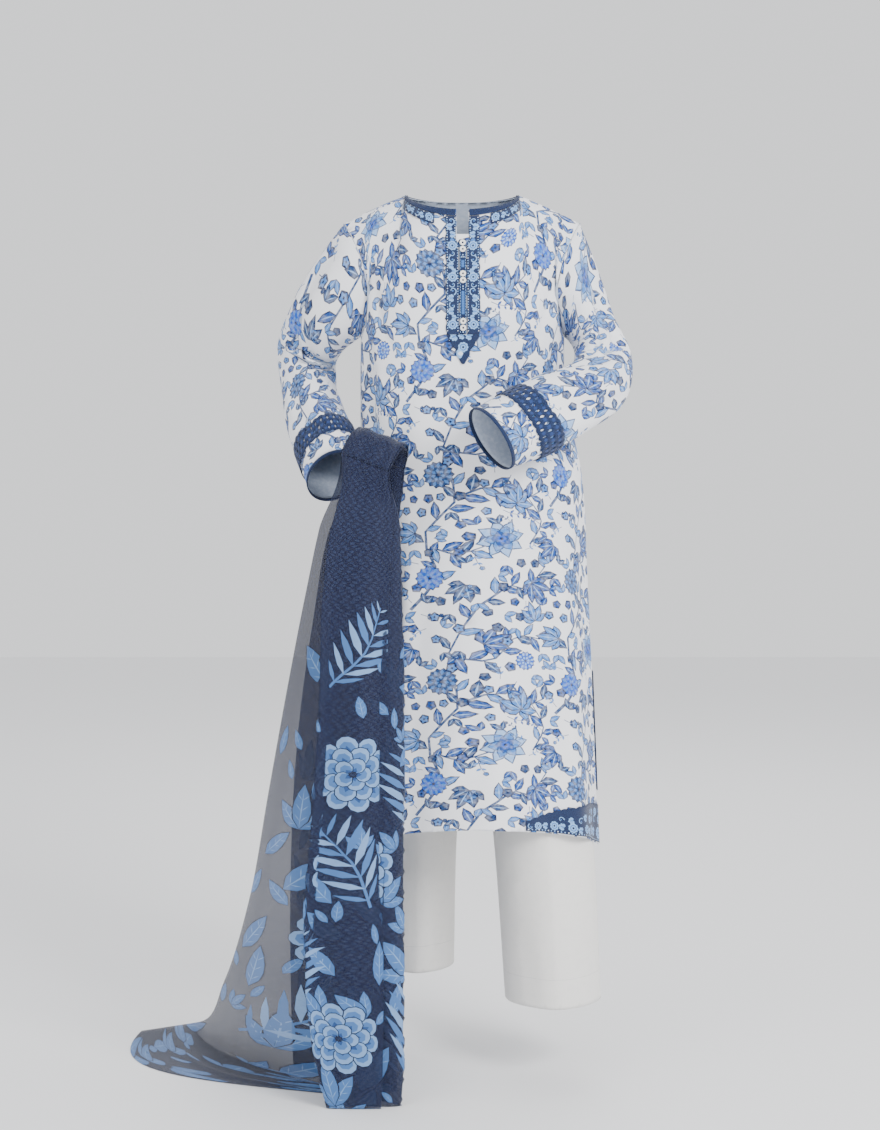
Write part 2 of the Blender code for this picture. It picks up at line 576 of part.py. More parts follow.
BUTTON_RADIUS = 0.0052
BUTTON_HOLE = 0.0016
BUTTON_DEPTHS = (0.0605, 0.0715, 0.1130, 0.1240, 0.1915, 0.2025)
BUTTON_PROFILE = np.array([
    (BUTTON_HOLE, 0.0000), (BUTTON_RADIUS * 0.92, 0.0000), (BUTTON_RADIUS, 0.0010),
    (BUTTON_RADIUS * 0.80, 0.0022), (BUTTON_HOLE, 0.0014),
])
for count, depth in enumerate(BUTTON_DEPTHS, start=1):
    centre_up = np.array([[up_at_depth(depth)]])
    middle = np.zeros((1, 1))
    out = facing(front, middle, centre_up, 1)[0, 0]
    centre = front(middle, centre_up)[0, 0] + out * (TRIM_LIFT + 0.0014 + 0.0005)
    upward = unit(np.cross(out, np.array([1.0, 0.0, 0.0])))
    sideways = np.cross(upward, out)
    angle = np.linspace(0, 2 * np.pi, 12, endpoint=False)[:, None, None]
    radius = BUTTON_PROFILE[None, :, 0, None]
    ring = centre + radius * (np.cos(angle) * sideways + np.sin(angle) * upward) + BUTTON_PROFILE[None, :, 1, None] * out
    number = np.arange(60).reshape(12, 5)
    faces = [
        (number[i, j], number[(i + 1) % 12, j], number[(i + 1) % 12, (j + 1) % 5], number[i, (j + 1) % 5])
        for i in range(12) for j in range(5)
    ]
    mesh = bpy.data.meshes.new(f"button_{count}")
    vertices = ring.reshape(-1, 3)
    vertices[:, 2] -= MOUNT_HEIGHT
    mesh.from_pydata(vertices.tolist(), [], [tuple(int(k) for k in face) for face in faces])
    mesh.materials.append(BUTTON_SHELL)
    mesh.shade_smooth()
    bpy.context.scene.collection.objects.link(bpy.data.objects.new(f"button_{count}", mesh))


# Lace on the side slits and embroidered corners of the hem

SLIT_LACE_TOP = 0.345
CORNER_STARTS = {-1: 0.50, 1: 0.22}
CORNER_HEIGHT = 0.068
CORNER_LOW = 0.018
for side_name, surface, side in (("front", front, -1), ("back", back, 1)):
    for hand, hand_name in ((-1, "right"), (1, "left")):
        step, up = grid([0.0, 1.0], np.linspace(0.108, SLIT_LACE_TOP, 12))
        wave = 0.006 * np.cos(np.arange(12) * 2.6)[:, None] * (1 - step)
        inner = 0.955 + wave
        across = hand * (inner + (1.0 - inner) * step)
        laid(f"slit_lace_{side_name}_{hand_name}", NAVY_TRIM, surface, side, trimmed(across, up), up,
             TRIM_LIFT + 0.0005, 0.0012)

        columns, rows = (FRONT_COLUMNS, FRONT_ROWS) if side < 0 else (BACK_COLUMNS, BACK_ROWS)
        corner_columns = SIDE_COLUMNS[SIDE_COLUMNS >= CORNER_STARTS[hand]] * hand
        across, step = grid(np.sort(corner_columns), [0.03, 0.5, 1.0])
        inwards = (1 - np.abs(across)) / (1 - CORNER_STARTS[hand])
        height = CORNER_HEIGHT - (CORNER_HEIGHT - CORNER_LOW) * inwards**2
        up = step * height / (ARMPIT_Z - HEM_SIDE_Z)
        out = facing(surface, trimmed(across, up), up, -side)
        corner = faceted(panel_points[side], columns, rows, across, up)
        cloth(f"hem_corner_{side_name}_{hand_name}", EMBROIDERY, corner + out * (TRIM_LIFT + 0.0013), out,
              thickness=0.0010)


# Trousers

def hip_quarter(hand, side, across, height):
    """A quarter of the hip ring: 0 at the side seam, 1 at the centre seam."""
    half_width, front_depth, back_depth = along(HIP_GIRTHS, height)
    depth = front_depth if side < 0 else back_depth
    turn = (1 - across) * np.pi / 2
    x = hand * half_width * signed_power(np.sin(turn), 0.9)
    return point(HIP_CENTRE_X + x, side * depth * signed_power(np.cos(turn), 0.9), height + 0 * x)


def leg_half(hand, side, across, height):
    """Half of a leg's ring: 0 at the outer seam, 1 at the inner seam, with a pressed crease midway."""
    centre_x, centre_y, half_width, half_depth = along(LEFT_LEG if hand > 0 else RIGHT_LEG, height)
    turn = across * np.pi
    wide = np.cos(turn)
    pressed = 1 + LEG_CREASE * ease((CROTCH_Z + 0.05 - height) / 0.15)
    x = centre_x + hand * half_width * signed_power(wide, pressed)
    return point(x, centre_y + side * half_depth * np.sin(turn), height + 0 * x)


def trouser(hand, side):
    """The surface of one trouser panel, from the share across and the height."""
    def surface(across, height):
        into_leg = ease((HIP_Z - 0.02 - height) / (HIP_Z - 0.02 - CROTCH_Z))[..., None]
        whole = hip_quarter(hand, side, across, height) * (1 - into_leg)
        return whole + leg_half(hand, side, across, height) * into_leg
    return surface


TROUSER_GAP = 0.0016
for hand, hand_name, hem in ((1, "left", 0.133), (-1, "right", 0.148)):
    for side, side_name in ((-1, "front"), (1, "back")):
        surface = trouser(hand, side)
        heights = np.concatenate([[hem, hem + 0.052], np.linspace(0.30, 0.70, 5),
                                  [CROTCH_Z, 0.79, 0.82, 0.86, 0.93, WAIST_Z - WAISTBAND_DEPTH]])
        shares = np.array([0.0, 0.14, 0.28, 0.40, 0.5, 0.60, 0.72, 0.86, 1.0])
        across, height = grid(TROUSER_GAP + shares * (1 - 2 * TROUSER_GAP), heights)
        points = surface(across, height)
        points[..., 0] += hand * 0.0010
        cloth(f"trouser_{hand_name}_{side_name}", WHITE_CAMBRIC, points,
              facing(surface, across, height, -hand * side))

turn, height = grid(np.linspace(0, 2 * np.pi, 28, endpoint=False),
                    [WAIST_Z - WAISTBAND_DEPTH + SEAM_GAP, WAIST_Z])
half_width, front_depth, back_depth = along(HIP_GIRTHS, height)
band_y = np.where(np.cos(turn) > 0, -front_depth, back_depth) * np.abs(np.cos(turn)) ** 0.9
band = point(half_width * signed_power(np.sin(turn), 0.9), band_y, height)
band_out = unit(band * np.array([1, 1, 0]))
band[..., 0] += HIP_CENTRE_X
cloth("waistband", WHITE_CAMBRIC, band, band_out, thickness=0.003, closed=True)


# Dupatta

def zigzag(share, turning_points):
    """Across the cloth: from the free edge to fold, fold and outer edge, slower at each fold."""
    leg = np.clip(share, 0, 1) * 3
    row = np.clip(leg.astype(int), 0, 2)
    f = leg - row
    f = f - 0.07 * np.sin(2 * np.pi * f)
    stops = np.stack(turning_points)
    start = np.take_along_axis(stops, row[None], axis=0)[0]
    end = np.take_along_axis(stops, row[None] + 1, axis=0)[0]
    return start + (end - start) * f


def layer_of(share):
    """Which layer the cloth is in: 0, 1 or 2, and half way between them at a fold."""
    leg = np.clip(share, 0, 1) * 3
    row = np.clip(leg.astype(int), 0, 2)
    off = 2 * (leg - row) - 1
    bend = 0.5 * np.sign(off) * np.abs(off) ** 5
    bend = np.where((row == 0) & (off < 0), 0, bend)
    bend = np.where((row == 2) & (off > 0), 0, bend)
    return row + bend


def over_wrist(share, turn):
    """The gathered stretch round the wrist: layers stacked on an arc about the wrist's axis."""
    left_end = np.array(WRIST_LEFT_END)
    right_end = np.array(WRIST_RIGHT_END)
    stop = [np.full_like(share, value) for value in (0.03, 0.97, 0.0, 1.0)]
    place = zigzag(share, stop)[..., None]
    axis_point = right_end * (1 - place) + left_end * place
    axis = unit(left_end - right_end)
    upward = unit(np.array([0.0, 0.0, 1.0]) - axis * axis[2])
    ahead = unit(np.cross(axis, upward))
    ahead = ahead * -np.sign(ahead[1])
    pleats = 0.0015 * np.sin(share * 3 * 2 * np.pi * 3)
    radius = (WRIST_RADIUS + LAYER_STEP * (1 - layer_of(share)) + pleats)[..., None]
    return axis_point + radius * (np.cos(turn)[..., None] * upward - np.sin(turn)[..., None] * ahead)


def front_half(share, down):
    """The half that hangs in front: 0 at the wrist, 1 at the floor, then the tail on the floor to 2."""
    falling = np.clip(down, 0, 1)
    top_z = FRONT_HALF[0, 0]
    height = top_z + (FRONT_HALF[-1, 0] - top_z) * falling
    table = FRONT_HALF[::-1]
    free_edge, fold_one, fold_two, outer, y_first, y_outer, gap = along(table, height)
    x = zigzag(share, [free_edge, fold_one, fold_two, outer])
    out_share = np.clip(share * 3 - 2, 0, 1)
    y = y_first + gap * layer_of(share) + (y_outer - y_first - 2 * gap) * out_share**1.5
    waves = 0.007 * ease(falling / 0.4) * np.sin(share * 3 * 2 * np.pi * 1.5 + 0.8) * ease(2 * (1 - falling) + 0.2)
    plain = point(x, y + waves, height)
    tail = np.clip(down - 1, 0, 1) * ease(out_share)
    bulge = 4 * out_share * (1 - out_share)
    end_x = TAIL_TIP[0] * out_share + x * (1 - out_share) + TAIL_BULGE[0] * bulge
    end_y = TAIL_TIP[1] * out_share + y * (1 - out_share) + TAIL_BULGE[1] * bulge
    spread = point(end_x, end_y, height)
    plain = plain * (1 - tail[..., None]) + spread * tail[..., None]
    joined = ease(1 - falling / 0.10)[..., None]
    wrist = over_wrist(share, 0 * share - np.pi / 2)
    wrist[..., 2] -= falling * (top_z - FRONT_HALF[-1, 0])
    return wrist * joined + plain * (1 - joined)


def back_half(share, down):
    """The half that hangs behind the first: its folds stand in the other order, close behind."""
    top_z = BACK_HALF[0, 0]
    height = top_z + (BACK_HALF[-1, 0] - top_z) * down
    right, left, behind = along(BACK_HALF[::-1], height)
    x = zigzag(share, [right - 0.004, right + 0.8 * (left - right), right, left])
    free_edge, fold_one, fold_two, outer, y_first, y_outer, gap = along(FRONT_HALF[::-1], height)
    reach = np.clip((fold_two - x) / (fold_two - outer), 0, 1)
    y = y_first + 2 * gap + (y_outer - y_first - 2 * gap) * reach**1.5
    plain = point(x, y + behind + 0.0065 * (2 - layer_of(share)), height)
    joined = ease(1 - down / 0.10)[..., None]
    wrist = over_wrist(share, 0 * share + np.pi / 2)
    wrist[..., 2] -= down * (top_z - BACK_HALF[-1, 0])
    return wrist * joined + plain * (1 - joined)


def chiffon(name, surface, shares, rows, outside):
    """One stretch of the dupatta as a thin wall."""
    share, down = grid(shares, rows)
    cloth(name, NAVY_CHIFFON, surface(share, down), facing(surface, share, down, outside), thickness=CHIFFON)


ACROSS = np.linspace(0, 1, 25)
chiffon("dupatta_front", front_half, ACROSS,
        np.concatenate([[0.0004, 0.05], np.linspace(0.10, 0.98, 10), [1.0, 1.33, 1.67, 2.0]]), 1)
chiffon("dupatta_over_arm", over_wrist, ACROSS, np.linspace(-np.pi / 2 + 0.004, np.pi / 2 - 0.004, 9), -1)
chiffon("dupatta_back", back_half, np.linspace(0, 1, 19), np.linspace(0.0004, 1.0, 11), -1)
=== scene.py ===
import math

import bmesh
import bpy
import numpy as np
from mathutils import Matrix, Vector
from mathutils.geometry import delaunay_2d_cdt


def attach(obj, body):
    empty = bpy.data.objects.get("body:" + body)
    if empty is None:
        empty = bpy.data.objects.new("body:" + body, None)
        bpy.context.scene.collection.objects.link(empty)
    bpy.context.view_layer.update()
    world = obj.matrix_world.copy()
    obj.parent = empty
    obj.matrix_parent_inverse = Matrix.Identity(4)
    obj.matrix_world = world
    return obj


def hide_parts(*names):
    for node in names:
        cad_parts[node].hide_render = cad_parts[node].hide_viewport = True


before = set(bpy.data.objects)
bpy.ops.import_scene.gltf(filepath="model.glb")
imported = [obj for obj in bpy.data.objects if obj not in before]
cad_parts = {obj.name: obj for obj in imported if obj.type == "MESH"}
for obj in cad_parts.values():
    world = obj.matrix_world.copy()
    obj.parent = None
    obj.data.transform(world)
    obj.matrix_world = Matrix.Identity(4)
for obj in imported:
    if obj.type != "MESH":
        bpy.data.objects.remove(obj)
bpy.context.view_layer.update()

# Camera, lights and floor
# The camera stands 4 m in front of the suit at chest height, as in the photograph.
# Two large soft lamps and a pale sky stand for a studio; the floor is plain and pale.
FLOOR_Z = -1.48

camera_data = bpy.data.cameras.new("camera")
camera_data.lens = 74.9
camera_data.sensor_width = 36
camera = bpy.data.objects.new("camera", camera_data)
camera.location = (-0.037, -4.0, -0.28)
camera.rotation_euler = (math.radians(90 - 4.6), 0, 0)
bpy.context.scene.collection.objects.link(camera)
bpy.context.scene.camera = camera


def soft_lamp(name, size, energy, location, target):
    """A square area lamp turned so that it looks from its location to the target."""
    lamp_data = bpy.data.lights.new(name, "AREA")
    lamp_data.shape = "SQUARE"
    lamp_data.size = size
    lamp_data.energy = energy
    lamp = bpy.data.objects.new(name, lamp_data)
    lamp.location = location
    lamp.rotation_euler = (Vector(target) - Vector(location)).to_track_quat("-Z", "Y").to_euler()
    bpy.context.scene.collection.objects.link(lamp)


soft_lamp("key_lamp", 1.4, 170, (2.0, -3.0, 1.3), (0, 0, -0.6))
soft_lamp("fill_lamp", 2.4, 30, (-2.6, -2.6, 0.4), (0, 0, -0.6))
soft_lamp("back_lamp", 2.0, 40, (0.4, 2.8, 1.6), (0, 0, -0.5))

world = bpy.data.worlds.new("studio")
world.use_nodes = True
world.node_tree.nodes["Background"].inputs["Color"].default_value = (0.93, 0.94, 0.96, 1)
world.node_tree.nodes["Background"].inputs["Strength"].default_value = 1.25
bpy.context.scene.world = world

FLOOR_HALF = 6
floor_mesh = bpy.data.meshes.new("floor")
floor_corners = [(a * FLOOR_HALF, b * FLOOR_HALF, FLOOR_Z) for a, b in ((-1, -1), (1, -1), (1, 1), (-1, 1))]
floor_mesh.from_pydata(floor_corners, [], [(0, 1, 2, 3)])
floor_paint = bpy.data.materials.new("floor_paint")
floor_paint.use_nodes = True
floor_paint.node_tree.nodes["Principled BSDF"].inputs["Base Color"].default_value = (0.86, 0.86, 0.87, 1)
floor_paint.node_tree.nodes["Principled BSDF"].inputs["Roughness"].default_value = 0.8
floor_mesh.materials.append(floor_paint)
floor = bpy.data.objects.new("floor", floor_mesh)
bpy.context.scene.collection.objects.link(floor)

# Kameez front and back
# Two panels of fine white cotton lawn with a blue floral print, sewn at the shoulders and sides.
# The print is drawn as flat patches in each panel's own cut, and the cut is then laid on the body.
CLOTH = 0.0012
SEAM_GAP = 0.0004
SHOULDER_GAP = 0.0009
ARMPIT_HEIGHT = 1.265
ARMPIT_Z = ARMPIT_HEIGHT + FLOOR_Z
SHOULDER_Z = 1.456 + FLOOR_Z
NECK_POINT_Z = 1.503 + FLOOR_Z
SHOULDER_X = 0.198
NECK_HALF_WIDTH = 0.094
NECK_SHARE = 0.5
NECK_DEPTHS = {-1: 0.080, 1: 0.052}
NECK_DROPS = {-1: 0.028, 1: 0.008}
HEM_SIDE_HEIGHT = 0.395
HEM_SIDE_Z = HEM_SIDE_HEIGHT + FLOOR_Z
HEM_RISES = {-1: 0.055, 1: 0.040}
SIDE_SLIT_TOP = 0.70
SIDE_SLIT_LENGTH = 0.30
SLIT_HALF_OPENING = 0.006
SIDE_SHARE_WIDTH = 0.27
NECK_SLIT_HALF = 0.0065
NECK_SLIT_UP = 1.7347
RING_POWER = 2.25

# Height above the floor, half width, front depth, back depth, centre x
KAMEEZ_GIRTHS = np.array([
    (0.390, 0.209, 0.158, 0.226, 0.027),
    (0.600, 0.202, 0.152, 0.200, 0.025),
    (0.850, 0.195, 0.143, 0.160, 0.020),
    (1.050, 0.186, 0.132, 0.126, 0.015),
    (1.160, 0.174, 0.130, 0.112, 0.002),
    (1.265, 0.172, 0.126, 0.106, 0.001),
])
# Share across at the top and at the hem, lowest and highest height, half width, height of the fold
PANEL_FOLDS = {
    -1: np.array([
        (-0.33, -0.44, 0.40, 1.02, 0.022, 0.013),
        (-0.47, -0.60, 0.40, 0.98, 0.026, -0.016),
        (0.02, 0.08, 0.40, 0.86, 0.030, 0.006),
        (0.30, 0.38, 0.40, 0.95, 0.030, -0.007),
        (0.46, 0.58, 0.40, 1.00, 0.028, 0.009),
        (0.80, 0.82, 0.40, 1.05, 0.024, -0.006),
        (0.62, 0.66, 1.10, 1.40, 0.022, -0.007),
        (-0.66, -0.70, 1.08, 1.38, 0.022, -0.007),
    ]),
    1: np.array([
        (-0.30, -0.42, 0.40, 1.05, 0.030, -0.012),
        (-0.12, -0.18, 0.40, 1.00, 0.028, 0.010),
        (0.12, 0.16, 0.40, 1.02, 0.028, -0.010),
        (0.34, 0.44, 0.40, 1.04, 0.030, 0.012),
        (0.66, 0.70, 0.40, 0.95, 0.026, -0.008),
    ]),
}


def ease(share):
    """0 to 1 with level ends: 3x² - 2x³."""
    share = np.clip(share, 0.0, 1.0)
    return share * share * (3.0 - 2.0 * share)


def along(table, at):
    """The table's other columns at values of its first column: a cubic through its rows."""
    at = np.asarray(at, float)
    stations = table[:, 0]
    values = table[:, 1:]
    slopes = np.gradient(values, stations, axis=0)
    row = np.clip(np.searchsorted(stations, at) - 1, 0, len(stations) - 2)
    step = (stations[row + 1] - stations[row])[..., None]
    f = np.clip((at - stations[row])[..., None] / step, 0.0, 1.0)
    start = values[row] * (2 * f**3 - 3 * f**2 + 1) + slopes[row] * step * (f**3 - 2 * f**2 + f)
    end = values[row + 1] * (3 * f**2 - 2 * f**3) + slopes[row + 1] * step * (f**3 - f**2)
    return np.moveaxis(start + end, -1, 0)


def signed_power(value, power):
    """A power that keeps the sign."""
    return np.sign(value) * np.abs(value) ** power


def point(x, y, z):
    """Arrays of coordinates as one array of points."""
    return np.stack(np.broadcast_arrays(x, y, z), axis=-1)


def unit(vector):
    """Vectors of length one."""
    return vector / np.maximum(np.linalg.norm(vector, axis=-1, keepdims=True), 1e-12)


def facing(shape, s, t, outside, nudge=1e-4):
    """The outward direction of a surface: across two small steps on it, on the side `outside`."""
    along_s = shape(s + nudge, t) - shape(s - nudge, t)
    along_t = shape(s, t + nudge) - shape(s, t - nudge)
    return unit(np.cross(along_s, along_t)) * outside


def girth(side, across, height):
    """The ring at a height: a rounded rectangle, deeper behind than in front."""
    half_width, front_depth, back_depth, centre_x = along(KAMEEZ_GIRTHS, height - FLOOR_Z)
    turn = across * np.pi / 2
    depth = front_depth if side < 0 else back_depth
    x = centre_x + half_width * signed_power(np.sin(turn), 2 / RING_POWER)
    y = side * depth * signed_power(np.cos(turn), 2 / RING_POWER)
    return point(x, y, height + 0 * x)


def top_edge(side, across):
    """The neckline between the neck points, and the shoulder seams outside them."""
    out = np.clip((np.abs(across) - NECK_SHARE) / (1 - NECK_SHARE), 0.0, None)
    around = np.clip(np.abs(across) / NECK_SHARE, 0.0, 1.0) * np.pi / 2
    x = np.sign(across) * (NECK_HALF_WIDTH * np.sin(around) + (SHOULDER_X - NECK_HALF_WIDTH) * out)
    y = side * (NECK_DEPTHS[side] * np.cos(around) + SHOULDER_GAP)
    z = NECK_POINT_Z - NECK_DROPS[side] * np.cos(around) - (NECK_POINT_Z - SHOULDER_Z) * out**1.15
    return point(x, y, z)


def panel(side):
    """The surface of the front (-1) or the back (1), from the share across and the height share.

    0 to 1 is hem to armpit, on scaled rings. 1 to 2 is one cubic curve from the armpit to the top edge.
    """
    def smooth_surface(across, up):
        hem = HEM_SIDE_Z + HEM_RISES[side] * (1 - np.clip(np.abs(across), 0, 1) ** 1.7)
        height = hem + (ARMPIT_Z - hem) * np.minimum(up, 1.0)
        lower = girth(side, across, height)
        v = np.clip(up - 1.0, 0.0, None)[..., None]
        base = girth(side, across, ARMPIT_Z + 0 * across)
        edge = ease((np.abs(across) - 0.72) / 0.28)
        neck = 1 - ease(np.abs(across) / NECK_SHARE)
        leave = point(-0.10 * np.sign(across) * edge, side * 0.21 * edge, 0.22 - 0.07 * edge)
        arrive_y = -side * (0.05 * neck + 0.17 * (1 - neck) * (1 - edge) + 0.21 * edge)
        arrive = point(0.10 * np.sign(across) * edge, arrive_y, 0.03 + 0.09 * neck + 0.12 * edge)
        upper = (
            base * (2 * v**3 - 3 * v**2 + 1) + leave * (v**3 - 2 * v**2 + v)
            + top_edge(side, across) * (3 * v**2 - 2 * v**3) + arrive * (v**3 - v**2)
        )
        return np.where(up[..., None] > 1.0, upper, lower)

    def folded(across, up):
        plain = smooth_surface(across, up)
        step = 1e-3
        sideways = smooth_surface(across + step, up) - smooth_surface(across - step, up)
        upwards = smooth_surface(across, up + step) - smooth_surface(across, up - step)
        out = unit(np.cross(sideways, upwards)) * -side
        half_girth = 0.5 * np.linalg.norm(sideways, axis=-1) / step
        height = plain[..., 2] - FLOOR_Z
        lift = np.zeros_like(across)
        for top, hem, low, high, half_width, rise in PANEL_FOLDS[side]:
            down = np.clip((high - height) / (high - low), 0.0, 1.0)
            off = (across - top - (hem - top) * down) * half_girth / half_width
            fade = ease((high - height) / 0.20) * ease((height - low) / 0.05 + 1.0)
            lift += rise * np.exp(-off * off) * fade * (height > low - 0.1)
        lift = lift * ease((1.0 - np.abs(across)) / 0.12)
        return plain + out * lift[..., None]

    return folded


front = panel(-1)
back = panel(1)


def trimmed(across, up):
    """The share across, held back from the side seam, and more so at the side slits."""
    height = HEM_SIDE_HEIGHT + (ARMPIT_HEIGHT - HEM_SIDE_HEIGHT) * up
    slit = ease((SIDE_SLIT_TOP - height) / SIDE_SLIT_LENGTH) * SLIT_HALF_OPENING
    return across * (1 - (SEAM_GAP / 2 + slit) / SIDE_SHARE_WIDTH)


PANEL_BODY_LENGTH = 0.84
PANEL_YOKE_LENGTH = 0.24
PANEL_LENGTH = PANEL_BODY_LENGTH + PANEL_YOKE_LENGTH
HEM_HALF_WIDTH = 0.275
CHEST_HALF_WIDTH = 0.250
NECK_END_HALF_WIDTH = 0.205


def panel_half_width(t):
    """Half of the panel's cut width at t metres above the hem: wide at the hem, less at the neck."""
    return np.interp(t, [0.0, 0.84, 1.08], [HEM_HALF_WIDTH, CHEST_HALF_WIDTH, NECK_END_HALF_WIDTH])


# Creases of each panel: start across and up, end across and up in metres, half width, height
PANEL_CREASES = {
    -1: np.array([
        (-0.165, 0.93, -0.110, 0.80, 0.010, -0.0035), (-0.175, 0.90, -0.140, 0.74, 0.012, 0.0035),
        (-0.200, 0.86, -0.165, 0.66, 0.010, -0.0035), (0.170, 0.93, 0.115, 0.82, 0.010, -0.0035),
        (0.185, 0.90, 0.140, 0.76, 0.012, 0.0030), (0.205, 0.84, 0.175, 0.64, 0.010, -0.0040),
        (-0.050, 0.60, -0.100, 0.46, 0.012, -0.0030), (0.020, 0.55, -0.060, 0.50, 0.011, 0.0025),
        (0.060, 0.60, 0.150, 0.53, 0.012, -0.0030), (0.160, 0.50, 0.220, 0.44, 0.010, 0.0025),
        (-0.180, 0.50, -0.235, 0.42, 0.010, -0.0028), (0.100, 0.35, 0.130, 0.06, 0.013, -0.0030),
        (-0.020, 0.30, -0.030, 0.05, 0.014, 0.0030), (0.200, 0.32, 0.230, 0.05, 0.012, 0.0030),
        (-0.220, 0.30, -0.240, 0.06, 0.011, -0.0028), (0.045, 0.72, 0.075, 0.62, 0.013, -0.0020),
        (-0.055, 0.74, -0.085, 0.66, 0.012, 0.0020),
    ]),
    1: np.array([
        (-0.170, 0.93, -0.100, 0.80, 0.011, -0.0035), (-0.185, 0.88, -0.130, 0.72, 0.012, 0.0035),
        (0.172, 0.93, 0.105, 0.78, 0.011, -0.0035), (0.190, 0.87, 0.140, 0.70, 0.012, 0.0030),
        (-0.060, 0.62, 0.000, 0.56, 0.012, -0.0030), (0.080, 0.60, 0.150, 0.54, 0.012, -0.0030),
        (-0.150, 0.56, -0.210, 0.46, 0.011, 0.0030), (0.030, 0.40, 0.045, 0.06, 0.014, 0.0035),
        (-0.100, 0.36, -0.120, 0.05, 0.013, -0.0030), (0.180, 0.36, 0.210, 0.05, 0.012, -0.0030),
        (-0.200, 0.32, -0.225, 0.05, 0.012, 0.0030),
    ]),
}


def crease_lift(creases, s, t):
    """Soft troughs and ridges: a bell across each crease's line, which fades past both its ends."""
    lift = np.zeros_like(s)
    for s_start, t_start, s_end, t_end, half_width, rise in creases:
        run = np.hypot(s_end - s_start, t_end - t_start)
        ahead = ((s - s_start) * (s_end - s_start) + (t - t_start) * (t_end - t_start)) / run
        off = ((s - s_start) * (t_end - t_start) - (t - t_start) * (s_end - s_start)) / run
        off = off + 0.15 * half_width * np.sin(ahead * 60)
        fade = ease(ahead / (0.35 * run) + 0.3) * ease((run - ahead) / (0.35 * run) + 0.3)
        lift += rise * np.exp(-(off / half_width) ** 2) * fade
    return lift


def cut_of_panel(side):
    """A panel from its flat cut: s metres across from the middle, t metres up from the hem."""
    surface = front if side < 0 else back

    def smooth_cut(s, t):
        across = s / panel_half_width(t)
        up = np.where(t < PANEL_BODY_LENGTH, t / PANEL_BODY_LENGTH,
                      1 + (t - PANEL_BODY_LENGTH) / PANEL_YOKE_LENGTH)
        return surface(trimmed(across, up), up)

    def creased(s, t):
        out = facing(smooth_cut, s, t, -side)
        held = ease((panel_half_width(t) - np.abs(s)) / 0.03) * ease((PANEL_LENGTH - t) / 0.08)
        return smooth_cut(s, t) + out * (crease_lift(PANEL_CREASES[side], s, t) * held)[..., None]

    return creased


front_cut = cut_of_panel(-1)
back_cut = cut_of_panel(1)


class Value:
    """A shader socket that adds Math nodes when it is used in an expression."""

    def __init__(self, tree, socket):
        self.tree = tree
        self.socket = socket

    def joined(self, operation, first, second=None):
        node = self.tree.nodes.new("ShaderNodeMath")
        node.operation = operation
        for slot, value in enumerate((first, second)):
            if isinstance(value, Value):
                self.tree.links.new(value.socket, node.inputs[slot])
            elif value is not None:
                node.inputs[slot].default_value = value
        return Value(self.tree, node.outputs[0])

    def __add__(self, other): return self.joined("ADD", self, other)
    def __radd__(self, other): return self.joined("ADD", other, self)
    def __sub__(self, other): return self.joined("SUBTRACT", self, other)
    def __rsub__(self, other): return self.joined("SUBTRACT", other, self)
    def __mul__(self, other): return self.joined("MULTIPLY", self, other)
    def __rmul__(self, other): return self.joined("MULTIPLY", other, self)
    def sine(self): return self.joined("SINE", self)
    def over(self, other): return self.joined("GREATER_THAN", self, other)


class Finish:
    """One material's nodes. `add` makes any node from its type, its settings and its sockets."""

    def __init__(self, name, roughness=0.75, sheen=0.0, base=(1, 1, 1)):
        self.material = bpy.data.materials.new(name)
        self.material.use_nodes = True
        self.tree = self.material.node_tree
        self.shader = self.tree.nodes["Principled BSDF"]
        self.shader.inputs["Roughness"].default_value = roughness
        self.shader.inputs["Sheen Weight"].default_value = sheen
        self.shader.inputs["Sheen Roughness"].default_value = 0.45
        self.shader.inputs["Specular IOR Level"].default_value = 0.3
        self.shader.inputs["Base Color"].default_value = (*base, 1)

    def add(self, kind, settings=None, output=0, **values):
        node = self.tree.nodes.new(kind)
        for key, value in (settings or {}).items():
            setattr(node, key, value)
        for key, value in values.items():
            socket = node.inputs[int(key[1:])] if key[0] == "_" else node.inputs[key]
            if isinstance(value, Value):
                self.tree.links.new(value.socket, socket)
            else:
                socket.default_value = value
        return Value(self.tree, node.outputs[output])

    def drive(self, socket, value):
        self.tree.links.new(value.socket, self.shader.inputs[socket])

    def noise(self, scale, detail):
        """Noise on the cut's coordinates."""
        cut = self.add("ShaderNodeUVMap", {"uv_map": "cut"})
        return self.add("ShaderNodeTexNoise", {}, Vector=cut, Scale=scale, Detail=detail)

    def dye(self):
        """The colour that the cut was printed, dyed or embroidered with."""
        return self.add("ShaderNodeVertexColor", {"layer_name": "dye"})

    def colour(self, share, first, second):
        """Drives the base colour with two colours mixed by a share."""
        settings = {"data_type": "RGBA"}
        self.drive("Base Color", self.add("ShaderNodeMix", settings, 2, _0=share, _6=first, _7=(*second, 1)))

    def threads(self, per_metre, depth, noise_scale=70.0):
        """A plain weave from two crossed sets of threads on the cut, with uneven yarn, as a bump."""
        cut = self.add("ShaderNodeUVMap", {"uv_map": "cut"})
        s = self.add("ShaderNodeSeparateXYZ", {}, _0=cut)
        t = Value(self.tree, s.socket.node.outputs[1])
        uneven = self.add("ShaderNodeTexNoise", {}, Vector=cut, Scale=noise_scale, Detail=4.0)
        waves = per_metre * 6.283
        weave = (s * waves).sine() * 0.5 + (t * waves).sine() * 0.5
        bump = self.add("ShaderNodeBump", {}, Strength=1.0, Distance=depth, Height=weave * 0.4 + uneven)
        self.drive("Normal", bump)
        return s, t, uneven


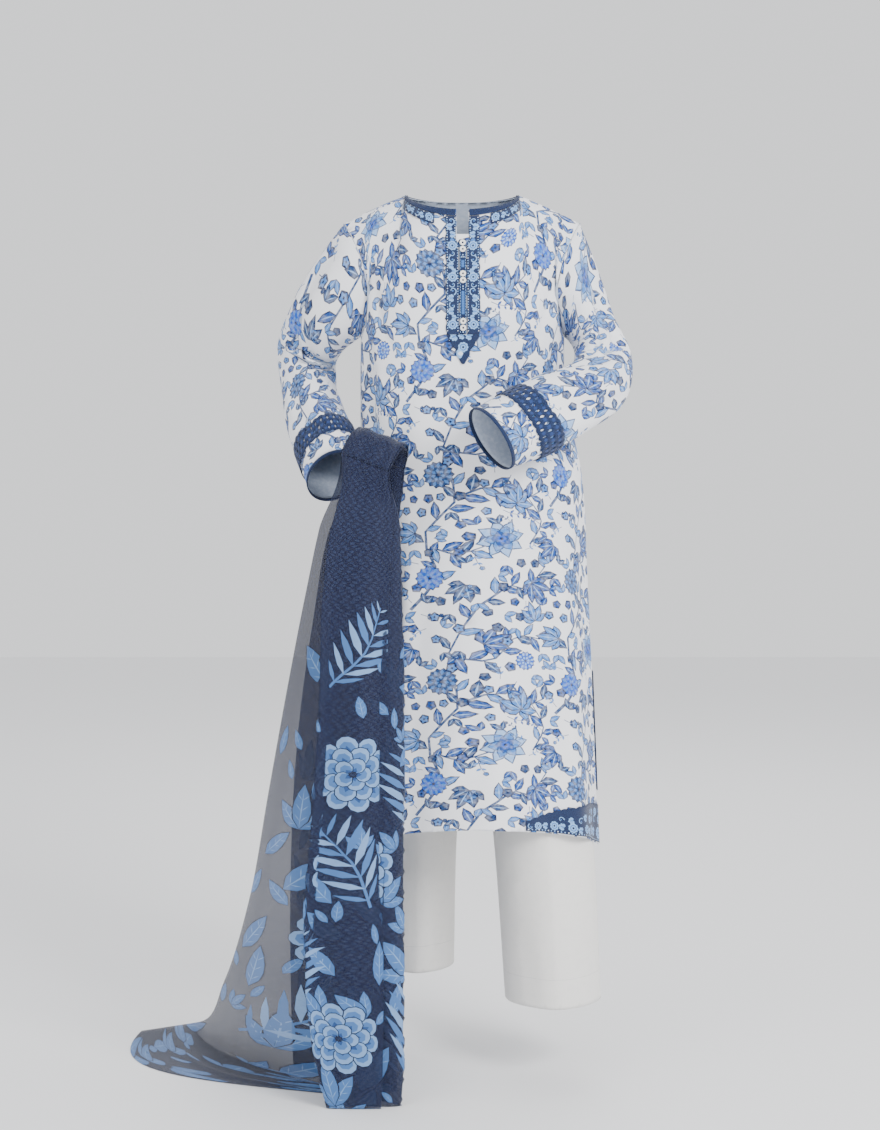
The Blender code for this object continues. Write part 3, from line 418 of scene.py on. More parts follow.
def blue(code, lighter=1.0):
    """A colour from its six-digit sRGB code, as linear values."""
    share = np.array([int(code[k:k + 2], 16) / 255 for k in (0, 2, 4)])
    return tuple(np.where(share <= 0.04045, share / 12.92, ((share + 0.055) / 1.055) ** 2.4) * lighter)


# Colours of the kameez print
LAWN_WHITE = blue("f1f2f6")
PRINT_NAVY = blue("0b1d48")
PRINT_STEEL = blue("234375")
PRINT_MID = blue("1c4a96")
PRINT_BRIGHT = blue("0d52bf")
PRINT_SOFT = blue("4a80c6")
PRINT_PALE = blue("8db3e2")


def turned(points, x, y, angle=0.0, scale=1.0):
    """Flat points scaled, turned and moved to a place."""
    c, s = math.cos(angle) * scale, math.sin(angle) * scale
    return np.asarray(points) @ np.array([[c, s], [-s, c]]) + (x, y)


def leaf(length, width, count=5):
    """A pointed leaf from the origin along +y: half width is width·sin(π f^0.8)^0.8."""
    f = np.linspace(0, 1, count)
    half = width * np.sin(np.pi * f**0.8) ** 0.8
    up = np.column_stack([half, f * length])
    down = np.column_stack([-half, f * length])[::-1][1:-1]
    return np.concatenate([up, down])


def rosette(radius, petals, depth, count=3):
    """A round flower outline: radius·(1 - depth + depth·|cos(petals·angle/2)|)."""
    angle = np.linspace(0, 2 * np.pi, petals * count, endpoint=False)
    r = radius * (1 - depth + depth * np.abs(np.cos(petals * angle / 2)))
    return np.column_stack([r * np.cos(angle), r * np.sin(angle)])


def stem(places, start_width, end_width, count=9):
    """A branch: a smooth curve through its places, wide at the start and fine at the end."""
    places = np.asarray(places, float)
    table = np.column_stack([np.linspace(0, 1, len(places)), places])
    share = np.linspace(0, 1, count)
    x, y = along(table, share)
    centre = np.column_stack([x, y])
    forward = unit(np.gradient(centre, axis=0))
    half = np.interp(share, [0, 1], [start_width / 2, end_width / 2])[:, None]
    side = np.column_stack([-forward[:, 1], forward[:, 0]]) * half
    return np.concatenate([centre + side, (centre - side)[::-1]])


def veined_leaf(length, width, fill, outline=PRINT_NAVY):
    """A leaf in three patches: outline, fill and a pale vein."""
    inner = leaf(length * 0.86, width * 0.74, 4) + (0, length * 0.06)
    vein = leaf(length * 0.74, width * 0.14, 3) + (0, length * 0.08)
    return [(leaf(length, width, 4), outline), (inner, fill), (vein, PRINT_PALE)]


def chrysanthemum(radius, fill, light):
    """A round head: a scalloped disc with three rings of light petals and a dark eye."""
    patches = [(rosette(radius, 14, 0.14, 2), PRINT_NAVY), (rosette(radius * 0.92, 14, 0.14, 2), fill)]
    for ring, petals, long in ((0.48, 11, 0.42), (0.16, 7, 0.30)):
        for k in range(petals):
            angle = 2 * math.pi * (k + 0.5 * (petals == 7)) / petals
            petal = leaf(radius * long, radius * 0.12, 3) + (0, radius * ring)
            patches.append((turned(petal, 0, 0, angle), light))
    patches.append((rosette(radius * 0.13, 6, 0.2, 1), PRINT_NAVY))
    return patches


def peony(radius):
    """A pale open flower: outer and inner ruffled petals with dark edges, and a bright heart."""
    patches = []
    for petals, reach, wide, fill, offset in (
        (8, 1.0, 0.30, PRINT_PALE, 0.0), (6, 0.70, 0.26, PRINT_SOFT, 0.4), (5, 0.44, 0.20, PRINT_MID, 0.1),
    ):
        for k in range(petals):
            angle = 2 * math.pi * k / petals + offset
            whole = leaf(radius * reach, radius * wide, 4)
            inner = leaf(radius * reach * 0.90, radius * wide * 0.78, 4) + (0, radius * 0.03)
            patches += [(turned(whole, 0, 0, angle), PRINT_STEEL), (turned(inner, 0, 0, angle), fill)]
    patches.append((rosette(radius * 0.20, 8, 0.25, 2), PRINT_BRIGHT))
    return patches + [(rosette(radius * 0.08, 6, 0.2, 1), PRINT_NAVY)]


def little_flower(radius, fill=PRINT_SOFT):
    """Five round petals with a dark edge and eye."""
    return [(rosette(radius, 5, 0.30), PRINT_NAVY), (rosette(radius * 0.80, 5, 0.40, 2), fill),
            (rosette(radius * 0.24, 4, 0.1, 1), PRINT_NAVY)]


def lobed_leaf(size, fill):
    """Five pointed lobes spread like a hand, each with its vein."""
    patches = []
    for angle, reach in ((1.15, 0.62), (-1.15, 0.62), (0.60, 0.85), (-0.60, 0.85), (0.0, 1.0)):
        for patch, colour in veined_leaf(size * reach, size * 0.20, fill, PRINT_NAVY):
            patches.append((turned(patch, 0, 0, angle), colour))
    return patches


def sprig(length, leaves, fill, bud=True):
    """A fine curved stem with leaves in pairs and a bud at its tip."""
    bend = length * 0.12
    twig = stem([(0, 0), (bend, length * 0.5), (0, length)], length * 0.035, length * 0.02, 4)
    patches = [(twig, PRINT_STEEL)]
    for k in range(leaves):
        f = (k + 1) / (leaves + 1)
        place = (bend * math.sin(math.pi * f), length * f)
        for hand in (-1, 1):
            size = length * (0.30 - 0.12 * f)
            patches.append((turned(leaf(size, size * 0.24, 4), *place, hand * 0.95), fill))
    if bud:
        patches += [(patch + (0, length), colour) for patch, colour in little_flower(length * 0.13, fill)]
    return patches


def placed(patches, x, y, angle=0.0, scale=1.0):
    """A motif's patches, turned and moved."""
    return [(turned(patch, x, y, angle, scale), colour) for patch, colour in patches]


REPEAT_WIDTH = 0.200
REPEAT_HEIGHT = 0.350


def kameez_repeat(seed):
    """One repeat of the kameez print, 0.20 m wide and 0.35 m high: branches, flowers, leaves, sprigs.

    The main motifs have set places; the small ones fill the free places of a loose grid.
    """
    chance = np.random.default_rng(seed)
    patches, leaves = [], []
    branches = [
        ([(0.010, 0.000), (0.048, 0.055), (0.030, 0.125), (0.075, 0.185), (0.060, 0.260), (0.095, 0.345)],
         0.0050),
        ([(0.075, 0.185), (0.112, 0.205), (0.148, 0.182), (0.192, 0.200)], 0.0038),
        ([(0.038, 0.105), (0.078, 0.092), (0.118, 0.112)], 0.0034),
        ([(0.100, 0.005), (0.138, 0.038), (0.165, 0.035), (0.196, 0.075)], 0.0036),
        ([(0.062, 0.268), (0.112, 0.262), (0.146, 0.302), (0.186, 0.300)], 0.0034),
        ([(0.170, 0.110), (0.190, 0.150), (0.168, 0.190)], 0.0030),
    ]
    for places, width in branches:
        patches.append((stem(places, width, width * 0.5, 2 * len(places) + 1), PRINT_STEEL))
        route = np.column_stack([np.linspace(0, 1, len(places)), places])
        x, y = along(route, np.linspace(0.06, 0.97, 3 * len(places) - 2))
        headings = np.arctan2(np.gradient(y), np.gradient(x)) - math.pi / 2
        for k, (a, b, heading) in enumerate(zip(x, y, headings)):
            leaves.append((a, b, heading + (0.85 if k % 2 else -0.85), chance.uniform(0.024, 0.034)))
    main = [
        (peony(0.034), 0.128, 0.118, 0.3),
        (chrysanthemum(0.0215, PRINT_BRIGHT, PRINT_SOFT), 0.038, 0.052, 0.0),
        (chrysanthemum(0.0235, PRINT_STEEL, PRINT_SOFT), 0.052, 0.226, 0.5),
        (chrysanthemum(0.0165, PRINT_BRIGHT, PRINT_PALE), 0.160, 0.262, 0.9),
    ] + [(lobed_leaf(size, fill), x, y, angle) for size, fill, x, y, angle in (
        (0.044, PRINT_SOFT, 0.152, 0.178, 0.5), (0.042, PRINT_MID, 0.102, 0.288, -1.1),
        (0.038, PRINT_SOFT, 0.016, 0.128, 1.5), (0.042, PRINT_MID, 0.172, 0.045, -2.5),
        (0.038, PRINT_STEEL, 0.086, 0.040, 2.7), (0.036, PRINT_SOFT, 0.178, 0.330, 0.3),
        (0.036, PRINT_MID, 0.012, 0.285, 2.3),
    )]
    for k, (x, y, angle, length) in enumerate(leaves):
        fill = (PRINT_MID, PRINT_STEEL, PRINT_SOFT, PRINT_MID)[k % 4]
        patches += placed(veined_leaf(length, length * 0.24, fill), x, y, angle)
    for motif, x, y, angle in main:
        patches += placed(motif, x, y, angle)
    taken = [(x, y, 0.024) for motif, x, y, angle in main]
    for x, y, angle, length in leaves:
        taken.append((x - math.sin(angle) * length * 0.6, y + math.cos(angle) * length * 0.6, 0.011))
    for row in range(16):
        for column in range(9):
            x = (column + 0.5 + 0.5 * (row % 2)) * 0.0222 + chance.uniform(-0.004, 0.004)
            y = (row + 0.5) * 0.0219 + chance.uniform(-0.004, 0.004)
            if any(math.hypot(x - a, y - b) < reach for a, b, reach in taken):
                continue
            kind, angle = chance.integers(0, 5), chance.uniform(0, 6.28)
            fill = (PRINT_STEEL, PRINT_MID, PRINT_SOFT)[chance.integers(0, 3)]
            if kind in (0, 1):
                motif = little_flower(chance.uniform(0.0075, 0.0095), fill)
            elif kind == 2:
                motif = sprig(chance.uniform(0.023, 0.032), 2, fill)
            else:
                motif = placed(veined_leaf(0.020, 0.0052, fill), 0, 0, 0.5)
                motif += placed(veined_leaf(0.017, 0.0048, fill), 0, 0, -0.6)
            patches += placed(motif, x, y, angle)
    return patches


def printed(s_low, s_high, t_low, t_high, shift=(0.0, 0.0)):
    """The repeat laid side by side over a cut, each column dropped by half a repeat."""
    patches = []
    low, high = np.array([s_low, t_low]), np.array([s_high, t_high])
    first = math.floor((s_low - shift[0]) / REPEAT_WIDTH)
    last = math.ceil((s_high - shift[0]) / REPEAT_WIDTH)
    for column in range(first, last):
        drop = 0.5 * REPEAT_HEIGHT * (column % 2)
        lowest = math.floor((t_low - shift[1] - drop) / REPEAT_HEIGHT)
        highest = math.ceil((t_high - shift[1] - drop) / REPEAT_HEIGHT)
        for row in range(lowest, highest):
            corner = shift[0] + column * REPEAT_WIDTH, shift[1] + row * REPEAT_HEIGHT + drop
            for patch, colour in PRINT_REPEAT:
                moved = patch + corner
                if (moved.max(axis=0) > low).all() and (moved.min(axis=0) < high).all():
                    patches.append((moved, colour))
    return patches


PRINT_REPEAT = kameez_repeat(7)
INSIDE = blue("aab6c9")
known_cells = {}


def cell_border(size, spacing):
    """A cell's outline with points at even steps, so that its neighbour has the same ones."""
    s = np.linspace(0, size[0], max(1, round(size[0] / spacing)) + 1)
    t = np.linspace(0, size[1], max(1, round(size[1] / spacing)) + 1)
    return np.concatenate([
        np.column_stack([s[:-1], 0 * s[:-1]]), np.column_stack([0 * t[:-1] + size[0], t[:-1]]),
        np.column_stack([s[:0:-1], 0 * s[:0:-1] + size[1]]), np.column_stack([0 * t[:0:-1], t[:0:-1]]),
    ])


def anticlockwise(shape):
    """A closed outline that runs anticlockwise: its points turned round where their area is negative."""
    shape = np.asarray(shape, float)
    following = np.roll(shape, -1, axis=0)
    area = (shape[:, 0] * following[:, 1] - shape[:, 1] * following[:, 0]).sum()
    return shape[::-1] if area < 0 else shape


def inside(outline, places):
    """Whether places are inside a closed outline: a line to the right crosses it an odd number of times."""
    x, y = places[:, 0, None], places[:, 1, None]
    following = np.roll(outline, -1, axis=0)
    over = (outline[:, 1] > y) != (following[:, 1] > y)
    rise = np.where(following[:, 1] == outline[:, 1], 1.0, following[:, 1] - outline[:, 1])
    reach = outline[:, 0] + (y - outline[:, 1]) / rise * (following[:, 0] - outline[:, 0])
    return (over & (x < reach)).sum(axis=1) % 2 == 1


def finer(outline, count):
    """A closed outline with more points on each of its edges."""
    steps = np.linspace(0, 1, count)[:-1, None]
    return np.concatenate([a + (b - a) * steps for a, b in zip(outline, np.roll(outline, -1, axis=0))])


def flat_cut(outline, patches, spacing, ground, holes=(), size=(0.040, 0.035), shift=(0.0, 0.0)):
    """Triangles of a flat cut, with every patch's outline in them: points, triangles, colours, level.

    The cut is worked out in cells, and a cell that repeats an earlier one reuses it. The colour of a
    triangle is that of the last patch over it, and the ground's where there is none. Triangles outside the
    outline or in a hole are dropped. The level is 1 on a patch, 0 on the ground.
    """
    outline, shift, size = anticlockwise(outline), np.array(shift), np.array(size)
    shapes = [anticlockwise(patch) for patch, colour in patches] + [anticlockwise(hole) for hole in holes]
    lows = np.array([shape.min(axis=0) for shape in shapes]).reshape(-1, 2)
    highs = np.array([shape.max(axis=0) for shape in shapes]).reshape(-1, 2)
    shades = np.array([ground] + [colour for patch, colour in patches])
    dense = finer(outline, 12)
    border = cell_border(size, spacing)
    counts = np.maximum(1, np.round(size / spacing)).astype(int)
    steps = [(np.arange(count) + 0.5) / count * length for count, length in zip(counts, size)]
    s, t = np.meshgrid(*steps)
    loose = np.column_stack([s.ravel(), t.ravel()])
    first = np.floor((outline.min(axis=0) - shift) / size).astype(int)
    last = np.ceil((outline.max(axis=0) - shift) / size).astype(int)
    places, corners, dyes, levels, base = [], [], [], [], 0
    for column in range(first[0], last[0]):
        for row in range(first[1], last[1]):
            start = shift + np.array([column, row]) * size
            near = np.flatnonzero(((highs > start) & (lows < start + size)).all(axis=1))
            crossed = ((dense > start - 1e-4) & (dense < start + size + 1e-4)).all(axis=1).any()
            if not crossed and not inside(outline, start[None] + size / 2)[0]:
                continue
            cell_shapes = [border] + ([outline - start] if crossed else [])
            cell_shapes += [shapes[k] - start for k in near]
            extra = len(cell_shapes) - len(near)
            points = np.concatenate(cell_shapes + [loose])
            key = (len(near), np.round(points * 1e6).astype(int).tobytes())
            if crossed or key not in known_cells:
                ends = np.cumsum([0] + [len(shape) for shape in cell_shapes])
                faces = [list(range(a, b)) for a, b in zip(ends[:-1], ends[1:])]
                corners_in = [Vector(place) for place in points.tolist()]
                flat, _, triangles, _, _, sources = delaunay_2d_cdt(corners_in, [], faces, 0, 1e-7)
                top = [max(source) if 0 in source and extra - 1 in source else -1 for source in sources]
                top = np.array(top, int)
                flat = np.array([tuple(place) for place in flat])
                known_cells[key] = (flat, np.array(triangles)[top >= 0], top[top >= 0])
            flat, triangles, top = known_cells[key]
            top = np.concatenate([[0] * extra, near + 1]).astype(int)[top]
            kept = top <= len(patches)
            triangles, top = triangles[kept], top[kept]
            if not kept.any():
                continue
            level = np.zeros(len(flat))
            level[triangles[top > 0]] = 1.0
            level[np.intersect1d(triangles[top > 0], triangles[top == 0])] = 0.35
            places.append(flat + start)
            corners.append(triangles + base)
            dyes.append(shades[top])
            levels.append(level)
            base += len(flat)
    places, corners = np.concatenate(places), np.concatenate(corners)
    used, corners = np.unique(corners, return_inverse=True)
    return places[used], corners.reshape(-1, 3), np.concatenate(dyes), np.concatenate(levels)[used]


def is_tube(shape, outline):
    """Whether a cut closes on itself: its two long edges are the same line on the body."""
    widest, middle = np.abs(outline[:, 0]).max(), np.full(1, outline[:, 1].mean())
    return np.linalg.norm(shape(np.full(1, widest), middle) - shape(np.full(1, -widest), middle)) < 1e-4


def inner_side(shape, outline, outside, thickness, start):
    """The plain inner sheet of a panel, and the rim that joins it to the outer side.

    A seam where a tube closes on itself gets no rim. Gives cut places, places, triangles and rim.
    """
    inner, triangles, colours, _ = flat_cut(outline, [], 0.012, INSIDE)
    edge = finer(outline, 5)
    number = start + len(inner) + np.arange(len(edge))
    following, below = np.roll(number, -1), len(edge)
    rim = np.concatenate([np.column_stack([number, following, following + below]),
                          np.column_stack([number, following + below, number + below])])
    widest = np.abs(outline[:, 0]).max() - 1e-6
    on_seam = is_tube(shape, outline) & (np.abs(edge[:, 0]) > widest)
    rim = rim[np.tile(~(on_seam & np.roll(on_seam, -1)), 2)]

    def down(cut):
        return -facing(shape, cut[:, 0], cut[:, 1], outside) * thickness

    places = np.concatenate([shape(inner[:, 0], inner[:, 1]) + down(inner), shape(edge[:, 0], edge[:, 1]),
                             shape(edge[:, 0], edge[:, 1]) + down(edge)])
    colours = np.concatenate([colours, np.tile(INSIDE, (len(rim), 1))])
    return np.concatenate([inner, edge, edge]), places, triangles + start, rim, colours


def coloured(mesh, cut, dye):
    """Each corner's place on the cut as the UV map `cut`, and its colour as the attribute `dye`."""
    mesh.uv_layers.new(name="cut").data.foreach_set("uv", cut.ravel())
    mesh.attributes.new("dye", "FLOAT_COLOR", "CORNER").data.foreach_set("color", dye.ravel())


def added(mesh, material):
    """A piece of the suit from a mesh, with its material, which rides on the suit's one body."""
    mesh.materials.append(material)
    mesh.shade_smooth()
    piece = bpy.data.objects.new(mesh.name, mesh)
    bpy.context.scene.collection.objects.link(piece)
    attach(piece, "root")
    return piece


def laid_cloth(name, material, flat, shape, outside, thickness=CLOTH, lift=0.0, relief=0.0, outline=None):
    """A flat cut laid on a surface, with its colours and its cut's coordinates, then given its wall.

    The wall grows inwards from the surface, so the outer side is where the function puts it. With an
    outline, the inner side is a plainer sheet of the same form, joined to the outer one by a rim.
    """
    points, triangles, colours, level = flat
    places = shape(points[:, 0], points[:, 1])
    if lift or relief:
        out = facing(shape, points[:, 0], points[:, 1], outside)
        places = places + out * (lift + relief * level)[:, None]
    ends = places[triangles]
    normals = np.cross(ends[:, 1] - ends[:, 0], ends[:, 2] - ends[:, 0])
    sample = slice(0, None, max(1, len(triangles) // 200))
    middle = points[triangles[sample]].mean(axis=1)
    flipped = (normals[sample] * facing(shape, middle[:, 0], middle[:, 1], outside)).sum() < 0
    if flipped:
        triangles = triangles[:, ::-1]
    if outline is not None:
        cut, sheet, inner, rim, inner_colours = inner_side(shape, outline, outside, thickness, len(points))
        points, places = np.concatenate([points, cut]), np.concatenate([places, sheet])
        triangles = np.concatenate([triangles, inner if flipped else inner[:, ::-1], rim])
        colours = np.concatenate([colours, inner_colours])
    if colours.shape[1] == 3:
        colours = np.column_stack([colours, np.ones(len(colours))])
    mesh = bpy.data.meshes.new(name)
    mesh.from_pydata(places.tolist(), [], triangles.tolist())
    coloured(mesh, points[triangles.ravel()], np.repeat(colours, 3, axis=0))
    joined = bmesh.new()
    joined.from_mesh(mesh)
    bmesh.ops.remove_doubles(joined, verts=joined.verts[:], dist=1e-5)
    joined.to_mesh(mesh)
    joined.free()
    piece = added(mesh, material)
    if outline is None:
        wall = piece.modifiers.new("wall", "SOLIDIFY")
        wall.thickness = thickness
        wall.offset = -1.0
    return piece


def stands_for_node(piece):
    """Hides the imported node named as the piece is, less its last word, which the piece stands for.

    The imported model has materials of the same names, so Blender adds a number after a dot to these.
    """
    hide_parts(piece.name.rsplit("_", 1)[0])


def declared(piece, flat, held, **more):
    """Cloth that stands for its node, which it hides. The flat, held and further arguments are not used."""
    stands_for_node(piece)


def between(first, second):
    """A closed outline between two edges, each given as its across and along values."""
    return np.concatenate([np.column_stack(first), np.column_stack(second)[::-1]])


def oblong(low, high, length, along_count, across_count):
    """The outline of a straight-edged cut: low to high across, 0 to its length along."""
    t = np.linspace(0, length, along_count)
    s = np.linspace(low, high, across_count)[1:-1]
    return np.concatenate([
        np.column_stack([0 * t + low, t]), np.column_stack([s, 0 * s + length]),
        np.column_stack([0 * t + high, t])[::-1], np.column_stack([s, 0 * s])[::-1],
    ])


def printed_lawn():
    """White cotton lawn: the dye is the patch's colour, a little uneven, with a fine plain weave."""
    finish = Finish("printed_lawn", roughness=0.78, sheen=0.12)
    finish.threads(900.0, 0.00025)
    finish.colour((finish.noise(140.0, 5.0) - 0.42) * 0.9, finish.dye(), LAWN_WHITE)
    return finish.material


LAWN = printed_lawn()

edge_t = np.linspace(0, PANEL_LENGTH, 60)
slit_half = NECK_SLIT_HALF / 0.19 * panel_half_width(PANEL_LENGTH)
slit_bottom = PANEL_BODY_LENGTH + PANEL_YOKE_LENGTH * (NECK_SLIT_UP - 1)
right_edge = np.column_stack([-panel_half_width(edge_t), edge_t])
left_edge = right_edge[::-1] * (-1, 1)
hem_s = np.linspace(-HEM_HALF_WIDTH, HEM_HALF_WIDTH, 60)[1:-1]
top_s = np.linspace(-NECK_END_HALF_WIDTH, NECK_END_HALF_WIDTH, 70)[1:-1]
hem_edge = np.column_stack([hem_s, 0 * hem_s])[::-1]
top_line = np.column_stack([top_s, 0 * top_s + PANEL_LENGTH])
slit_side = np.array([(-slit_half, PANEL_LENGTH), (-slit_half, slit_bottom)])
slit = np.concatenate([slit_side, slit_side[::-1] * (-1, 1)])
front_outline = np.concatenate([
    right_edge, top_line[top_s < -slit_half], slit, top_line[top_s > slit_half], left_edge, hem_edge,
])
back_outline = np.concatenate([right_edge, top_line, left_edge, hem_edge])
for name, outline, shape, outside, shift, cut_width in (
    ("kameez_front", front_outline, front_cut, 1, (-0.095, 0.03), 0.56),
    ("kameez_back", back_outline, back_cut, -1, (-0.02, 0.11), 0.60),
):
    patches = printed(-0.28, 0.28, 0.0, PANEL_LENGTH, shift)
    flat = flat_cut(outline, patches, 0.014, LAWN_WHITE, shift=shift)
    piece = laid_cloth(f"{name}_cloth", LAWN, flat, shape, outside, outline=outline)
    declared(piece, flat=(cut_width, 1.10), held="hung")

# Sleeves
# Two straight sleeves of the same printed lawn, each cut as one piece and closed by a seam under the arm.
# Both are bent at the elbow, so the cloth creases on the inside of the bend.
ARMHOLE_GAP = 0.0010
ARMHOLE_TUCK = 0.975
ARMHOLE_BACK_GAP = 0.0029
SLEEVE_LENGTH = 0.50
SLEEVE_RADIUS = 0.057
# From the armhole to the cuff: x, z and y of the outer point, x, z and y of the inner point, half depth
SLEEVE_RINGS = {
    -1: np.array([
        (-0.198, 1.456, 0.000, -0.172, 1.265, 0.000, 0.055),
        (-0.244, 1.399, 0.030, -0.188, 1.255, 0.030, 0.060),
        (-0.286, 1.330, 0.070, -0.204, 1.243, 0.070, 0.060),
        (-0.318, 1.258, 0.100, -0.217, 1.222, 0.100, 0.058),
        (-0.312, 1.179, 0.085, -0.215, 1.190, 0.085, 0.058),
        (-0.294, 1.099, 0.040, -0.206, 1.153, 0.035, 0.056),
        (-0.262, 1.034, -0.020, -0.193, 1.118, -0.030, 0.054),
        (-0.245, 0.998, -0.050, -0.186, 1.074, -0.068, 0.051),
    ]),
    1: np.array([
        (0.198, 1.456, 0.000, 0.176, 1.265, 0.000, 0.055),
        (0.231, 1.376, 0.000, 0.186, 1.252, -0.004, 0.059),
        (0.257, 1.296, 0.002, 0.190, 1.240, -0.024, 0.056),
        (0.276, 1.213, -0.012, 0.189, 1.228, -0.068, 0.055),
        (0.256, 1.146, -0.058, 0.172, 1.218, -0.130, 0.055),
        (0.196, 1.106, -0.135, 0.130, 1.204, -0.170, 0.055),
        (0.136, 1.073, -0.186, 0.076, 1.178, -0.208, 0.054),
        (0.076, 1.052, -0.218, 0.022, 1.150, -0.234, 0.053),
    ]),
}
# Share along at the start and end, turn around at the start and end, half width, height
SLEEVE_FOLDS = np.array([
    (0.30, 0.46, 1.7, 2.7, 0.017, -0.008), (0.36, 0.54, 1.2, 2.4, 0.017, -0.007),
    (0.44, 0.62, 2.0, 3.3, 0.016, -0.007), (0.12, 0.40, 0.7, 1.5, 0.018, -0.008),
    (0.30, 0.50, 3.9, 4.9, 0.015, -0.008), (0.62, 0.86, 1.0, 1.9, 0.016, -0.007),
    (0.60, 0.82, 4.4, 5.2, 0.016, -0.006),
])
# Small creases on the cut: start round and along, end round and along in metres, half width, height
SLEEVE_CREASES = {
    -1: np.array([
        (0.060, 0.150, 0.130, 0.230, 0.007, -0.0035), (0.050, 0.180, 0.110, 0.270, 0.007, 0.0030),
        (0.080, 0.260, 0.150, 0.230, 0.006, -0.0030), (0.090, 0.290, 0.160, 0.260, 0.006, -0.0032),
        (0.020, 0.060, 0.080, 0.150, 0.009, -0.0030), (-0.060, 0.200, -0.120, 0.260, 0.007, -0.0030),
        (-0.050, 0.240, -0.130, 0.300, 0.007, 0.0028), (0.030, 0.350, 0.100, 0.400, 0.008, -0.0025),
        (-0.030, 0.330, -0.100, 0.380, 0.008, -0.0025), (-0.020, 0.080, -0.080, 0.140, 0.009, -0.0028),
        (0.110, 0.310, 0.140, 0.380, 0.007, 0.0026),
    ]),
    1: np.array([
        (0.060, 0.200, 0.150, 0.240, 0.006, -0.0035), (0.050, 0.230, 0.140, 0.270, 0.006, -0.0032),
        (0.070, 0.170, 0.150, 0.190, 0.006, 0.0030), (0.090, 0.290, 0.160, 0.300, 0.007, -0.0030),
        (0.020, 0.060, 0.090, 0.140, 0.009, -0.0032), (-0.060, 0.210, -0.130, 0.250, 0.007, -0.0030),
        (-0.040, 0.260, -0.120, 0.290, 0.007, 0.0028), (0.040, 0.330, 0.110, 0.380, 0.008, -0.0025),
        (-0.030, 0.340, -0.090, 0.400, 0.008, -0.0025), (-0.030, 0.070, -0.090, 0.150, 0.009, -0.0028),
    ]),
}


def armhole(mirror, turn):
    """The loop round an armhole: down the front edge and up the back edge, just outside the panels."""
    up = 1.5 + 0.5 * np.cos(turn)
    edge = mirror * np.ones_like(up)
    loop = np.where((np.sin(turn) >= 0)[..., None], front(edge, up), back(edge, up))
    behind = np.clip(-np.sin(turn), 0.0, 1.0)
    loop[..., 0] += mirror * (ARMHOLE_GAP + ARMHOLE_BACK_GAP * behind)
    loop[..., 1] *= ARMHOLE_TUCK
    return loop


def sleeve(mirror):
    """A sleeve from the turn around it and the share along it, with its folds.

    A ring is an ellipse through the table row's outer and inner points, blended from the armhole's loop.
    """
    rings = SLEEVE_RINGS[mirror]
    table = np.column_stack([np.linspace(0, 1, len(rings)), rings])

    def smooth_surface(turn, share):
        outer_x, outer_z, outer_y, inner_x, inner_z, inner_y, depth = along(table, share)
        outer = point(outer_x, outer_y, outer_z + FLOOR_Z)
        inner = point(inner_x, inner_y, inner_z + FLOOR_Z)
        reach = (outer - inner) / 2
        ahead = along(table, np.clip(share + 0.03, 0, 1))
        behind = along(table, np.clip(share - 0.03, 0, 1))
        forward = np.moveaxis((ahead[:3] + ahead[3:6] - behind[:3] - behind[3:6])[[0, 2, 1]], 0, -1)
        frontwards = unit(np.cross(unit(forward), unit(reach))) * mirror
        turned_share = ease(share / 0.30)[..., None]
        frontwards = unit(np.array([0.0, -1.0, 0.0]) * (1 - turned_share) + frontwards * turned_share)
        ring = (outer + inner) / 2 + reach * np.cos(turn)[..., None]
        ring = ring + frontwards * (depth * np.sin(turn))[..., None]
        joined = np.clip(share / 0.26, 0, 1)[..., None]
        joined = joined * (2 - joined)
        return armhole(mirror, turn) * (1 - joined) + ring * joined

    def folded(turn, share):
        nudge = 1e-3
        around = smooth_surface(turn + nudge, share) - smooth_surface(turn - nudge, share)
        forward = smooth_surface(turn, share + nudge) - smooth_surface(turn, share - nudge)
        out = unit(np.cross(around, forward)) * mirror
        lift = np.zeros_like(turn)
        for start, end, turn_start, turn_end, half_width, rise in SLEEVE_FOLDS:
            f = np.clip((share - start) / (end - start), 0, 1)
            off_turn = np.mod(turn - turn_start - (turn_end - turn_start) * f + np.pi, 2 * np.pi) - np.pi
            off_turn = off_turn * 0.055
            off_along = np.where(share < start, start - share, np.maximum(share - end, 0)) * 0.5
            lift += rise * np.exp(-(off_turn**2 + off_along**2) / half_width**2)
        lift *= ease(share / 0.15) * ease((1 - share) / 0.12)
        s, t = turn * SLEEVE_RADIUS, share * SLEEVE_LENGTH
        fade = ease(t / 0.05) * ease((SLEEVE_LENGTH - t) / 0.05)
        fade = fade * ease((math.pi * SLEEVE_RADIUS - np.abs(s)) / 0.02)
        lift += crease_lift(SLEEVE_CREASES[mirror], s, t) * fade
        return smooth_surface(turn, share) + out * lift[..., None]

    return folded


def cut_of_sleeve(mirror):
    """A sleeve from its flat cut: s metres round from its outer line, t metres along from the armhole."""
    surface = sleeve(mirror)
    return lambda s, t: surface(s / SLEEVE_RADIUS, t / SLEEVE_LENGTH)


sleeve_cuts = {-1: cut_of_sleeve(-1), 1: cut_of_sleeve(1)}
SLEEVE_HALF = math.pi * SLEEVE_RADIUS
sleeve_outline = oblong(-SLEEVE_HALF, SLEEVE_HALF, SLEEVE_LENGTH, 41, 61)
for mirror, hand, shift in ((-1, "right", (0.02, 0.09)), (1, "left", (-0.07, -0.05))):
    patches = printed(-SLEEVE_HALF, SLEEVE_HALF, 0, SLEEVE_LENGTH, shift)
    flat = flat_cut(sleeve_outline, patches, 0.011, LAWN_WHITE, shift=shift)
    piece = laid_cloth(f"sleeve_{hand}_cloth", LAWN, flat, sleeve_cuts[mirror], mirror,
                       outline=sleeve_outline)
    declared(piece, flat=(0.36, 0.50), held="hung")

